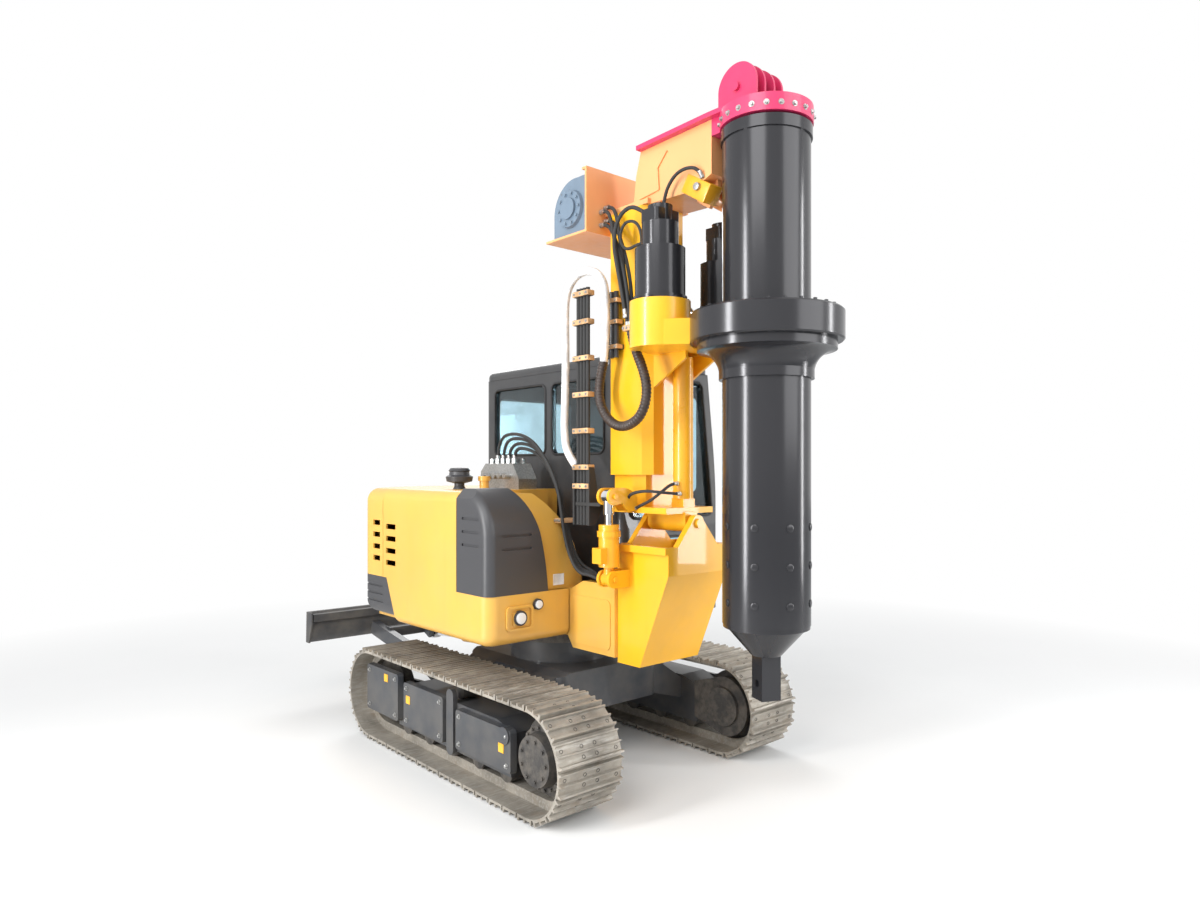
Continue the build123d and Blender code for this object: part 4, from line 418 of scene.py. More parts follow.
def scaled(colour, factor):
    """A colour made lighter or darker, kept inside 0 to 1."""
    return tuple(min(1.0, c * factor) for c in colour[:3])


def paint(name, colour, gloss=0.35, dust=0.0, dust_height=1.0, chips=0.0, grain=0.0004):
    """Sprayed paint: faint patches, fine orange peel, dust that thins out with height, chips."""
    nodes = Nodes(name)
    patch = nodes.spread(nodes.noise(1.7, 4.0), 0.3, 0.7)
    colour_out = nodes.blend(patch, scaled(colour, 0.93), scaled(colour, 1.04))
    streak = nodes.spread(nodes.noise(9.0, 5.0, nodes.stretched((1.0, 1.0, 0.12))), 0.55, 0.8)
    colour_out = nodes.blend(nodes.times(streak, 0.22), colour_out, scaled(colour, 0.72))
    rough = nodes.spread(nodes.noise(23.0, 3.0), 0.3, 0.7, gloss - 0.05, gloss + 0.09)
    if dust:
        low = nodes.spread(nodes.height(), 0.0, dust_height, dust, dust * 0.15)
        cover = nodes.times(nodes.spread(nodes.noise(5.5, 6.0), 0.35, 0.62), low)
        colour_out = nodes.blend(cover, colour_out, (0.33, 0.29, 0.23))
        rough = nodes.spread(cover, 0.0, 1.0, gloss, 0.85)
    if chips:
        spot = nodes.spread(nodes.noise(55.0, 2.0), 0.71 - chips, 0.75 - chips)
        colour_out = nodes.blend(nodes.times(spot, 0.7), colour_out, (0.13, 0.11, 0.10))
    nodes.skin(colour_out, rough)
    nodes.set(Coat_Weight=0.25 if gloss < 0.5 else 0.0)
    nodes.bump(nodes.noise(240.0, 1.0), grain, 0.5)
    return nodes.material


def lacquer(name, colour):
    """Deep gloss black: thick wet-looking lacquer with soft waves and a few dull patches."""
    nodes = Nodes(name)
    patch = nodes.spread(nodes.noise(2.4, 5.0), 0.4, 0.75)
    nodes.skin(
        nodes.blend(patch, colour, scaled(colour, 2.6)),
        nodes.spread(nodes.noise(6.0, 4.0, nodes.stretched((1.0, 1.0, 0.15))), 0.3, 0.75, 0.035, 0.11),
    )
    nodes.set(Specular_IOR_Level=0.16)
    nodes.bump(nodes.noise(7.0, 2.0, nodes.stretched((1.0, 1.0, 0.4))), 0.002, 0.3)
    return nodes.material


def casting(name, colour, rough=0.6, metallic=0.3, dust=0.4, scale=38.0):
    """Cast or rolled dark metal with a sandy skin and patches of pale dust."""
    nodes = Nodes(name)
    patch = nodes.spread(nodes.noise(3.1, 6.0), 0.35, 0.65)
    colour_out = nodes.blend(patch, scaled(colour, 0.75), scaled(colour, 1.25))
    cover = nodes.times(nodes.spread(nodes.noise(7.0, 8.0, None, 0.7), 0.42, 0.66), dust)
    colour_out = nodes.blend(cover, colour_out, (0.30, 0.26, 0.21))
    nodes.skin(
        colour_out, nodes.spread(nodes.noise(scale, 4.0), 0.3, 0.7, rough - 0.1, rough + 0.15)
    )
    nodes.set(Metallic=metallic)
    nodes.bump(nodes.noise(scale * 4, 3.0), 0.0012, 0.5)
    return nodes.material


def worn_steel(name, colour):
    """Track shoes: brown-grey steel, rubbed bright along fine scratches."""
    nodes = Nodes(name)
    patch = nodes.spread(nodes.noise(4.0, 7.0, None, 0.65), 0.33, 0.67)
    colour_out = nodes.blend(patch, scaled(colour, 0.62), scaled(colour, 1.25))
    rust = nodes.times(nodes.spread(nodes.noise(11.0, 6.0), 0.55, 0.75), 0.35)
    colour_out = nodes.blend(rust, colour_out, (0.24, 0.17, 0.11))
    scratch = nodes.spread(nodes.noise(60.0, 3.0, nodes.stretched((0.15, 1.0, 1.0))), 0.5, 0.75)
    colour_out = nodes.blend(nodes.times(scratch, 0.35), colour_out, (0.62, 0.60, 0.56))
    nodes.skin(colour_out, nodes.spread(scratch, 0.0, 1.0, 0.62, 0.42))
    nodes.set(Metallic=0.35)
    nodes.bump(nodes.noise(95.0, 4.0), 0.002, 0.6)
    return nodes.material


def chrome(name, colour):
    """Hard chrome with a trace of oil along the rod."""
    nodes = Nodes(name)
    film = nodes.spread(nodes.noise(14.0, 4.0, nodes.stretched((1.0, 1.0, 0.1))), 0.4, 0.7)
    nodes.skin(
        nodes.blend(film, colour, scaled(colour, 0.78)), nodes.spread(film, 0.0, 1.0, 0.10, 0.22)
    )
    nodes.set(Metallic=1.0)
    nodes.bump(nodes.noise(400.0, 1.0), 0.0001, 0.3)
    return nodes.material


def zinc(name, colour):
    """Zinc-plated steel with a faint spangle."""
    nodes = Nodes(name)
    cells = nodes.add("ShaderNodeTexVoronoi")
    cells.inputs["Scale"].default_value = 90.0
    nodes.join(nodes.place, cells.inputs["Vector"])
    share = nodes.spread(cells.outputs["Distance"], 0.0, 0.7)
    nodes.skin(
        nodes.blend(share, colour, scaled(colour, 0.7)), nodes.spread(share, 0.0, 1.0, 0.28, 0.45)
    )
    nodes.set(Metallic=0.9)
    return nodes.material


def glass(name, colour):
    """Bluish laminated glass with a light film of dust."""
    nodes = Nodes(name)
    film = nodes.spread(nodes.noise(6.0, 5.0), 0.35, 0.75)
    nodes.skin(
        nodes.blend(film, colour, scaled(colour, 1.15)), nodes.spread(film, 0.0, 1.0, 0.03, 0.10)
    )
    nodes.set(Transmission_Weight=1.0, IOR=1.45)
    return nodes.material


def rubber(name, colour, rough=0.55, weave=0.0):
    """Hose rubber or moulded plastic, with a dull skin."""
    nodes = Nodes(name)
    patch = nodes.spread(nodes.noise(12.0, 4.0), 0.35, 0.7)
    nodes.skin(
        nodes.blend(patch, scaled(colour, 0.8), scaled(colour, 1.6)),
        nodes.spread(nodes.noise(80.0, 2.0), 0.3, 0.7, rough - 0.08, rough + 0.1),
    )
    if weave:
        threads = nodes.add("ShaderNodeTexWave", wave_type="BANDS", bands_direction="DIAGONAL")
        threads.inputs["Scale"].default_value = weave
        nodes.join(nodes.place, threads.inputs["Vector"])
        nodes.set(Sheen_Weight=0.3)
        nodes.bump(threads.outputs["Fac"], 0.0006, 0.6)
    else:
        nodes.bump(nodes.noise(300.0, 2.0), 0.0003, 0.5)
    return nodes.material


def pick_faces(piece, heading):
    """Goes into edit mode with only the faces chosen that look along a heading."""
    choose(piece)
    bpy.ops.object.mode_set(mode="EDIT")
    bpy.ops.mesh.select_mode(type="FACE")
    bpy.ops.mesh.select_all(action="DESELECT")
    bpy.ops.object.mode_set(mode="OBJECT")
    for face in piece.data.polygons:
        face.select = face.normal.dot(Vector(heading)) > 0.9
    bpy.ops.object.mode_set(mode="EDIT")


def inset_faces(piece, heading, *steps):
    """Insets the faces that look along a heading; each step is a thickness and a depth."""
    pick_faces(piece, heading)
    for thickness, depth in steps:
        bpy.ops.mesh.inset(thickness=thickness, depth=depth)
    bpy.ops.object.mode_set(mode="OBJECT")


def leaned(piece, angle, pivot):
    """Turns a piece about a line across the machine through a pivot."""
    choose(piece)
    bpy.ops.transform.rotate(value=angle, orient_axis="X", center_override=pivot)


def bevelled(piece, width, segments=2, angle=35.0):
    """Rounds the sharp edges of a piece and smooths its faces by angle."""
    choose(piece)
    edge = piece.modifiers.new("edge", "BEVEL")
    edge.width = width
    edge.segments = segments
    edge.limit_method = "ANGLE"
    edge.angle_limit = math.radians(angle)
    bpy.ops.object.modifier_apply(modifier=edge.name)
    bpy.ops.object.shade_smooth_by_angle(angle=math.radians(40))
    return piece


def drum(radius, depth, place=(0, 0, 0), heading=UP, sides=24):
    """A round blank that stands on its place and points along its heading."""
    deselect_all()
    turn = Vector(heading).to_track_quat("Z", "Y")
    middle = Vector(place) + turn @ Vector((0, 0, depth / 2))
    bpy.ops.mesh.primitive_cylinder_add(
        vertices=sides, radius=radius, depth=depth, location=middle, rotation=turn.to_euler()
    )
    bpy.ops.object.transform_apply(location=True, rotation=True, scale=True)
    return bpy.context.object


def block(size, place, bevel=0.0):
    """A block with rounded edges, to be inset and shaped further."""
    deselect_all()
    bpy.ops.mesh.primitive_cube_add(size=1.0, location=place)
    piece = bpy.context.object
    piece.scale = size
    bpy.ops.object.transform_apply(location=True, rotation=True, scale=True)
    return bevelled(piece, bevel) if bevel else piece


def joined(pieces):
    """Joins several pieces into the first of them."""
    choose(*pieces)
    if len(pieces) > 1:
        bpy.ops.object.join()
    return bpy.context.object


def repeated(master, spots):
    """Copies a master to each place and heading, joins the copies and removes the master."""
    made = []
    for place, heading in spots:
        twin = master.copy()
        twin.data = master.data.copy()
        bpy.context.collection.objects.link(twin)
        twin.location = place
        twin.rotation_euler = Vector(heading).to_track_quat("Z", "Y").to_euler()
        made.append(twin)
    bpy.data.objects.remove(master)
    piece = joined(made)
    choose(piece)
    bpy.ops.object.transform_apply(location=True, rotation=True, scale=True)
    return piece


def fitted(piece, name, body, finish=None):
    """Names a finished piece, lets it ride on its body and gives it its finish."""
    settle(piece, name)
    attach(piece, body)
    if finish:
        dress(piece, finish)
    return piece


def hex_bolt(size, finish):
    """A hex bolt head with its washer and a chamfered top, standing on the origin."""
    washer = drum(size * 1.55, size * 0.28, sides=16)
    head = drum(size, size * 0.95, (0, 0, size * 0.28), sides=6)
    pick_faces(head, UP)
    bpy.ops.mesh.inset(thickness=size * 0.16, depth=0.0)
    bpy.ops.transform.translate(value=(0, 0, size * 0.14))
    bpy.ops.object.mode_set(mode="OBJECT")
    bolt = joined([washer, head])
    dress(bolt, finish)
    return bolt


def circle_spots(middle, radius, count, axis, first=0.0):
    """Places and headings of bolts on a circle round an axis, all pointing along it."""
    turn = Vector(axis).to_track_quat("Z", "Y")
    spots = []
    for index in range(count):
        angle = math.radians(first + 360.0 * index / count)
        out = turn @ Vector((radius * math.cos(angle), radius * math.sin(angle), 0.0))
        spots.append((Vector(middle) + out, axis))
    return spots


def hose_line(name, points, radius):
    """A hose as a curve of one NURBS spline, with its wall round it."""
    data = bpy.data.curves.new(name, "CURVE")
    data.dimensions = "3D"
    data.resolution_u = 10
    data.bevel_depth = radius
    data.bevel_resolution = 3
    data.use_fill_caps = radius > 0.0
    spline = data.splines.new("NURBS")
    spline.points.add(len(points) - 1)
    for point, place in zip(spline.points, points):
        point.co = (*place, 1.0)
    spline.order_u = 3
    spline.use_endpoint_u = True
    piece = bpy.data.objects.new(name, data)
    bpy.context.collection.objects.link(piece)
    return piece


def ribbed_hose(name, points, radius, pitch, groove):
    """A corrugated hose: rings along the hose's own line, full and narrow in turn."""
    guide = hose_line(name + "_line", points, 0.0)
    bpy.context.view_layer.update()
    drawn = bpy.data.meshes.new_from_object(guide)
    line = [vertex.co.copy() for vertex in drawn.vertices]
    bpy.data.meshes.remove(drawn)
    bpy.data.objects.remove(guide)
    walked = [0.0]
    for near, far in zip(line, line[1:]):
        walked.append(walked[-1] + (far - near).length)
    count = 4 * int(walked[-1] / pitch)
    shape = bmesh.new()
    side = Vector((1.0, 0.0, 0.0))
    last = None
    run = 0
    for step in range(count + 1):
        reach = walked[-1] * step / count
        while run < len(line) - 2 and walked[run + 1] < reach:
            run += 1
        heading = (line[run + 1] - line[run]).normalized()
        middle = line[run] + heading * (reach - walked[run])
        side = (side - heading * side.dot(heading)).normalized()
        up = heading.cross(side)
        width = radius if step % 4 in (0, 1) else radius - groove
        ring = []
        for spoke in range(HOSE_SIDES):
            angle = 2 * math.pi * spoke / HOSE_SIDES
            out = side * math.cos(angle) + up * math.sin(angle)
            ring.append(shape.verts.new(middle + out * width))
        if last:
            for spoke in range(HOSE_SIDES):
                after = (spoke + 1) % HOSE_SIDES
                shape.faces.new((last[spoke], last[after], ring[after], ring[spoke]))
        else:
            shape.faces.new(ring)
        last = ring
    shape.faces.new(last)
    bmesh.ops.recalc_face_normals(shape, faces=shape.faces)
    mesh = bpy.data.meshes.new(name)
    shape.to_mesh(mesh)
    shape.free()
    piece = bpy.data.objects.new(name, mesh)
    bpy.context.collection.objects.link(piece)
    choose(piece)
    bpy.ops.object.shade_smooth()
    return piece, line


def fastener_rows():
    """Each group of bolts: name, body, slot, finish, size, places and headings."""
    drums, caps, hubs, covers, winch = [], [], [], [], []
    height, reach, count, first, apart = CAP_BOLTS
    for step in range(count):
        angle = math.radians(first + apart * step)
        out = Vector((math.cos(angle), math.sin(angle), 0))
        caps.append((Vector((0, KELLY_Y, height)) + out * reach, out))
    for side in (-1, 1):
        out = (side, 0, 0)
        for spots, circle, heading in (
            (drums, DRUM_BOLTS, UP),
            (hubs, HUB_BOLTS, out),
            (hubs, SPROCKET_BOLTS, out),
            (winch, WINCH_BOLTS, out),
        ):
            reach, place, radius, count = circle
            spots += circle_spots((side * reach, *place), radius, count, heading)
        for rear, front, low, high in TRACK_COVERS:
            for y in (rear + COVER_INSET[0], front - COVER_INSET[0]):
                for z in (low + COVER_INSET[1], high - COVER_INSET[1]):
                    covers.append(((side * COVER_FACE, y, z), out))
    return (
        ("ring_bolts", "sledge", "gloss_black", "gloss_black", 0.011, circle_spots(*RING_BOLTS)),
        ("drum_bolts", "sledge", "gloss_black", "gloss_black", 0.010, drums),
        ("cap_bolts", "sledge", "valve_steel", "zinc_steel", 0.010, caps),
        ("hub_bolts", "undercarriage", "cast_dark", "dark_casting", 0.010, hubs),
        ("cover_bolts", "undercarriage", "valve_steel", "zinc_steel", 0.010, covers),
        ("winch_bolts", "sledge", "winch_blue", "drum_paint", 0.009, winch),
    )


class RigColours(bpy.types.PropertyGroup):
    """Paint and surface colours of the rig."""

    def shade(label, red, green, blue):
        return bpy.props.FloatVectorProperty(
            name=label,
            description=f"Colour of the {label.lower()}",
            subtype="COLOR",
            size=3,
            min=0.0,
            max=1.0,
            default=(red, green, blue),
        )

    warm_paint: shade("Body paint", 0.76, 0.42, 0.07)
    mast_paint: shade("Mast paint", 0.95, 0.47, 0.012)
    head_paint: shade("Head paint", 0.92, 0.42, 0.17)
    cap_paint: shade("Cap paint", 0.66, 0.035, 0.13)
    gloss_black: shade("Gloss black", 0.004, 0.004, 0.005)
    cover_black: shade("Cover black", 0.028, 0.028, 0.031)
    frame_paint: shade("Frame paint", 0.040, 0.044, 0.052)
    dark_casting: shade("Dark casting", 0.055, 0.052, 0.05)
    worn_shoe: shade("Track shoes", 0.34, 0.31, 0.265)
    blade_paint: shade("Blade paint", 0.055, 0.055, 0.058)
    cylinder_paint: shade("Cylinder paint", 0.90, 0.42, 0.02)
    chrome_rod: shade("Chrome rods", 0.80, 0.80, 0.82)
    cab_paint: shade("Cab paint", 0.032, 0.033, 0.036)
    tinted_glass: shade("Window glass", 0.62, 0.78, 0.84)
    seat_cloth: shade("Seat cloth", 0.035, 0.035, 0.04)
    console_plastic: shade("Console plastic", 0.06, 0.06, 0.065)
    engine_casting: shade("Engine block", 0.14, 0.145, 0.15)
    zinc_steel: shade("Zinc steel", 0.55, 0.55, 0.54)
    hose_rubber: shade("Hose rubber", 0.018, 0.018, 0.018)
    # Dark winch paint; its blue-grey tint is a painted sky reflection on the glossy plates
    drum_paint: shade("Winch paint with painted sky reflection", 0.16, 0.22, 0.29)
    sleeve_brown: shade("Corrugated sleeve", 0.040, 0.026, 0.020)
    wrap_white: shade("White hose wrap", 0.80, 0.81, 0.82)
    clamp_tan: shade("Hose clamps", 0.56, 0.34, 0.17)
    window_rubber: shade("Window rubber", 0.016, 0.016, 0.017)
    lamp_lens: shade("Lamp lens", 0.82, 0.84, 0.86)
    floor: shade("Floor", 0.80, 0.80, 0.79)


class RigSizes(bpy.types.PropertyGroup):
    """Sizes of the pieces that are added to the frame."""

    floor_reach: bpy.props.FloatProperty(
        name="Floor reach",
        description="Half the side of the floor plane",
        default=40.0,
        min=5.0,
        unit="LENGTH",
    )
    floor_fade: bpy.props.FloatProperty(
        name="Floor fade",
        description="Distance from the rig at which the floor starts to fade to white",
        default=2.6,
        min=1.0,
        unit="LENGTH",
    )


# How each finish is made; its colour has the same name in RigColours
MAKERS = {
    "warm_paint": (paint, {"gloss": 0.38, "dust": 0.16, "dust_height": 2.0}),
    "mast_paint": (paint, {"gloss": 0.32, "dust": 0.08, "dust_height": 3.0}),
    "head_paint": (paint, {"gloss": 0.34}),
    "cap_paint": (paint, {"gloss": 0.36}),
    "gloss_black": (lacquer, {}),
    "cover_black": (paint, {"gloss": 0.40, "dust": 0.14, "dust_height": 2.0}),
    "frame_paint": (paint, {"gloss": 0.42, "dust": 0.16, "dust_height": 1.4}),
    "dark_casting": (casting, {}),
    "worn_shoe": (worn_steel, {}),
    "blade_paint": (paint, {"gloss": 0.5, "dust": 0.35, "dust_height": 1.2}),
    "cylinder_paint": (paint, {"gloss": 0.3}),
    "chrome_rod": (chrome, {}),
    "cab_paint": (paint, {"gloss": 0.35, "dust": 0.10, "dust_height": 3.0}),
    "tinted_glass": (glass, {}),
    "seat_cloth": (rubber, {"rough": 0.85, "weave": 120.0}),
    "console_plastic": (rubber, {"rough": 0.5}),
    "engine_casting": (casting, {"rough": 0.55, "metallic": 0.4, "dust": 0.2}),
    "zinc_steel": (zinc, {}),
    "hose_rubber": (rubber, {}),
    # Winch finish: dark paint with a painted blue-grey sky reflection
    "drum_paint": (paint, {"gloss": 0.35, "chips": 0.02}),
    "sleeve_brown": (rubber, {"rough": 0.45}),
    "wrap_white": (rubber, {"rough": 0.5}),
    "clamp_tan": (rubber, {"rough": 0.5}),
    "window_rubber": (rubber, {"rough": 0.6}),
    "lamp_lens": (paint, {"gloss": 0.12}),
}


def dress(piece, finish):
    """Gives a piece one finish all over."""
    piece.data.materials.clear()
    piece.data.materials.append(bpy.data.materials[finish])


class RIG_OT_paint(bpy.types.Operator):
    """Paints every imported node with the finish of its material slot"""

    bl_idname = "rig.paint"
    bl_label = "Paint the rig"

    def execute(self, context):
        for name, (maker, settings) in MAKERS.items():
            maker(name, tuple(getattr(context.scene.rig_colours, name)), **settings)
        for row in frame["record"]["subparts"]:
            dress(frame["nodes"][row["node"]], FINISHES[row["material_slot"]])
        return {"FINISHED"}


class RIG_OT_hoses(bpy.types.Operator):
    """Lays every free hose along its line and closes its ends with ferrules"""

    bl_idname = "rig.hoses"
    bl_label = "Hoses"

    def execute(self, context):
        ends = {}
        for name, (body, width, stiffness, length, points) in HOSES.items():
            line = None
            if name in RIBBED:
                pitch, groove, finish = RIBBED[name]
                piece, line = ribbed_hose(name, points, width / 2, pitch, groove)
                dress(piece, finish)
                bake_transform(piece)
            else:
                piece = hose_line(name, points, width / 2)
                dress(piece, "hose_rubber")
                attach(piece, body)
                for near, far in (points[:2], points[:-3:-1]):
                    ends.setdefault((body, width), []).append((near, Vector(far) - Vector(near)))
        for (body, width), spots in ends.items():
            nut = drum(width * 0.78, width * 0.7, sides=6)
            crimp = drum(width * 0.64, width * 1.6, (0, 0, width * 0.6), sides=18)
            inset_faces(crimp, UP, (width * 0.1, -width * 0.05))
            end = joined([bevelled(nut, width * 0.06), bevelled(crimp, width * 0.05)])
            name = f"hose_ends_{body}_{round(width * 1000)}"
            fitted(repeated(end, spots), name, body, "zinc_steel")
        return {"FINISHED"}


class RIG_OT_clamps(bpy.types.Operator):
    """Adds the ribbed plastic clamps that hold the hoses"""

    bl_idname = "rig.clamps"
    bl_label = "Hose clamps"

    def execute(self, context):
        for name, body, size, places in CLAMPS:
            parts = []
            for x, y, z in places:
                bar = block(size, (x, y, z), min(size) * 0.12)
                parts.append(bar)
                face = x - size[0] / 2 + 0.001
                screws = [((face, y + share * size[1], z), RIGHT) for share in (-0.38, 0.0, 0.38)]
                parts.append(repeated(hex_bolt(0.006, "zinc_steel"), screws))
                dress(bar, "clamp_tan")
            fitted(joined(parts), name, body)
        return {"FINISHED"}


class RIG_OT_fasteners(bpy.types.Operator):
    """Screws down every flange, cover and cap with hex bolts"""

    bl_idname = "rig.fasteners"
    bl_label = "Fasteners"

    def execute(self, context):
        for name, body, slot, finish, size, spots in fastener_rows():
            fitted(repeated(hex_bolt(size, finish), spots), name, body)
        return {"FINISHED"}


def loop_spot(distance):
    """Place and outward heading on the track's loop, a distance along it."""
    bend = math.pi * SHOE_RADIUS
    if distance < 2 * WHEEL_REACH:
        return Vector((0, distance - WHEEL_REACH, WHEEL_HEIGHT)), Vector((0, 0, 1))
    distance -= 2 * WHEEL_REACH
    if distance < bend:
        angle = math.pi / 2 - distance / SHOE_RADIUS
        out = Vector((0, math.cos(angle), math.sin(angle)))
        return Vector((0, WHEEL_REACH, WHEEL_HEIGHT)), out
    distance -= bend
    if distance < 2 * WHEEL_REACH:
        return Vector((0, WHEEL_REACH - distance, WHEEL_HEIGHT)), Vector((0, 0, -1))
    angle = -math.pi / 2 - (distance - 2 * WHEEL_REACH) / SHOE_RADIUS
    out = Vector((0, math.cos(angle), math.sin(angle)))
    return Vector((0, -WHEEL_REACH, WHEEL_HEIGHT)), out


class RIG_OT_shoes(bpy.types.Operator):
    """Marks the bolt and drain holes on every track shoe"""

    bl_idname = "rig.shoes"
    bl_label = "Track shoe holes"

    def execute(self, context):
        loop = 4 * WHEEL_REACH + 2 * math.pi * SHOE_RADIUS
        for side, label in ((-1, "right"), (1, "left")):
            spots = []
            for index in range(SHOES):
                middle, out = loop_spot((index + 0.5) * loop / SHOES)
                along = Vector((1, 0, 0)).cross(out)
                seat = middle + out * (SHOE_RADIUS + SHOE_PLATE - 0.001)
                for across, step in SHOE_HOLES:
                    place = seat + Vector((side * TRACK_X + across, 0, 0)) + along * step
                    spots.append((place, out))
            hole = drum(0.0105, 0.004, sides=10)
            inset_faces(hole, UP, (0.003, -0.0035))
            dress(hole, "dark_casting")
            fitted(repeated(hole, spots), f"shoe_holes_{label}", "undercarriage")
        return {"FINISHED"}


class RIG_OT_weld_marks(bpy.types.Operator):
    """Adds the rows of plug welds round the foot of the outer kelly tube"""

    bl_idname = "rig.weld_marks"
    bl_label = "Kelly plug welds"

    def execute(self, context):
        spots = []
        for height in WELD_ROWS:
            for index in range(WELDS_PER_ROW):
                angle = 2 * math.pi * (index + 0.5) / WELDS_PER_ROW
                out = Vector((math.cos(angle), math.sin(angle), 0))
                spots.append((Vector((0, KELLY_Y, height)) + out * (TUBE_RADIUS - 0.002), out))
        weld = drum(0.021, 0.006, sides=20)
        inset_faces(weld, UP, (0.007, 0.002))
        weld = bevelled(weld, 0.0015)
        dress(weld, "gloss_black")
        fitted(repeated(weld, spots), "kelly_plug_welds", "kelly_1")
        return {"FINISHED"}


def window_rim(middle, width, height, lean, heading):
    """A rubber profile round a window opening, as a mesh."""
    points = []
    for sign_u, sign_v, start in ((1, 1, 0), (-1, 1, 90), (-1, -1, 180), (1, -1, 270)):
        for step in range(7):
            angle = math.radians(start + 15 * step)
            points.append((
                sign_u * (width / 2 - RIM_CORNER) + RIM_CORNER * math.cos(angle),
                sign_v * (height / 2 - RIM_CORNER) + RIM_CORNER * math.sin(angle),
            ))
    data = bpy.data.curves.new("rim", "CURVE")
    data.dimensions = "3D"
    data.bevel_depth = 0.009
    data.bevel_resolution = 2
    spline = data.splines.new("POLY")
    spline.points.add(len(points) - 1)
    turn = Matrix.Rotation(heading, 4, "Z") @ Matrix.Rotation(math.pi / 2 + lean, 4, "X")
    for point, (u, v) in zip(spline.points, points):
        point.co = (*(Vector(middle) + turn @ Vector((u, v, 0))), 1.0)
    spline.use_cyclic_u = True
    rim = bpy.data.objects.new("rim", data)
    bpy.context.collection.objects.link(rim)
    choose(rim)
    bpy.ops.object.convert(target="MESH")
    bpy.ops.object.shade_smooth()
    rim = bpy.context.object
    dress(rim, "window_rubber")
    return rim


class RIG_OT_cab_trim(bpy.types.Operator):
    """Fits the window rubbers, the door handle and the wiper"""

    bl_idname = "rig.cab_trim"
    bl_label = "Cab trim"

    def execute(self, context):
        for name, body, rows in (
            ("cab_window_rubbers", "upper", CAB_RIMS),
            ("door_window_rubbers", "door", DOOR_RIMS),
        ):
            fitted(joined([window_rim(*row) for row in rows]), name, body)
        plate = block((0.012, 0.16, 0.07), (0.982, -0.40, 1.62), 0.004)
        inset_faces(plate, LEFT, (0.012, -0.006))
        grip = block((0.02, 0.11, 0.022), (0.992, -0.395, 1.62), 0.006)
        dress(plate, "cover_black")
        dress(grip, "zinc_steel")
        fitted(joined([plate, grip]), "door_handle", "door")
        post = drum(0.012, 0.05, (CAB_MIDDLE, -0.612, 1.475), (0, -1, 0.1), 16)
        arm = block((0.016, 0.010, 0.50), (CAB_MIDDLE, -0.600, 1.72), 0.003)
        blade = block((0.012, 0.016, 0.46), (CAB_MIDDLE, -0.588, 1.80), 0.004)
        for part in (arm, blade):
            leaned(part, SCREEN_LEAN, (CAB_MIDDLE, -0.600, 1.50))
        for part in (post, arm, blade):
            dress(part, "cover_black")
        fitted(joined([post, arm, blade]), "screen_wiper", "upper")
        return {"FINISHED"}


def sewn_pad(name, size, place, lean, seam):
    """A padded cushion: a crowned form blown up by cloth, then sewn down along two seams."""
    pad = block(size, (0, 0, 0), min(size) * 0.28)
    remesh = pad.modifiers.new("skin", "REMESH")
    remesh.mode = "VOXEL"
    remesh.voxel_size = PAD_GRID
    bpy.ops.object.modifier_apply(modifier=remesh.name)
    flat = [vertex.co.copy() for vertex in pad.data.vertices]
    cloth = pad.modifiers.new("air", "CLOTH")
    cloth.settings.use_pressure = True
    cloth.settings.uniform_pressure_force = 4.0
    cloth.settings.effector_weights.gravity = 0.0
    cloth.point_cache.frame_end = 14
    for frame_number in range(1, 15):
        bpy.context.scene.frame_set(frame_number)
    choose(pad)
    bpy.ops.object.modifier_apply(modifier=cloth.name)
    for vertex, before in zip(pad.data.vertices, flat):
        move = vertex.co - before
        if move.length > PAD_SWELL:
            vertex.co = before + move * (PAD_SWELL / move.length)
    bpy.context.scene.frame_set(1)
    half = [side / 2 for side in size]
    for vertex in pad.data.vertices:
        point = vertex.co
        reach = max(abs(point.x) / half[0], abs(point.y) / half[1])
        crown = 1.0 - 0.22 * min(1.0, reach) ** 3
        point.z *= crown
        near = (abs(point.x) - seam) / 0.010
        if point.z > 0:
            point.z -= 0.011 * math.exp(-near * near)
    smooth = pad.modifiers.new("smooth", "SUBSURF")
    smooth.levels = smooth.render_levels = 1
    choose(pad)
    bpy.ops.object.modifier_apply(modifier=smooth.name)
    bpy.ops.object.shade_smooth()
    pad.rotation_euler = (lean, 0.0, 0.0)
    pad.location = place
    fitted(pad, name, "upper", "seat_cloth")
    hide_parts("cab_seat")


class RIG_OT_seat(bpy.types.Operator):
    """Puts the operator's seat in the cab: a base with bellows, a cushion and a backrest"""

    bl_idname = "rig.seat"
    bl_label = "Operator's seat"

    def execute(self, context):
        parts = []
        for step in range(BELLOWS_FOLDS):
            place = (CAB_MIDDLE, 0.33, BELLOWS_FOOT + BELLOWS_STEP * step)
            fold = block((0.34, 0.36, 0.040), place, 0.017)
            dress(fold, "hose_rubber")
            parts.append(fold)
        pan = block((0.42, 0.44, 0.045), (CAB_MIDDLE, 0.325, 1.235), 0.012)
        inset_faces(pan, UP, (0.03, -0.01))
        dress(pan, "console_plastic")
        shell = block((0.40, 0.030, 0.50), (CAB_MIDDLE, 0.60, 1.66), 0.012)
        leaned(shell, SEAT_LEAN, (CAB_MIDDLE, 0.60, 1.42))
        dress(shell, "console_plastic")
        base = fitted(joined([*parts, pan, shell]), "seat_base", "upper")
        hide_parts("cab_seat")
        upright = math.pi / 2 - SEAT_LEAN
        sewn_pad("seat_cushion", (0.43, 0.45, 0.085), (CAB_MIDDLE, 0.305, 1.315), 0.0, 0.13)
        sewn_pad("seat_backrest", (0.42, 0.52, 0.075), (CAB_MIDDLE, 0.553, 1.68), upright, 0.12)
        return {"FINISHED"}


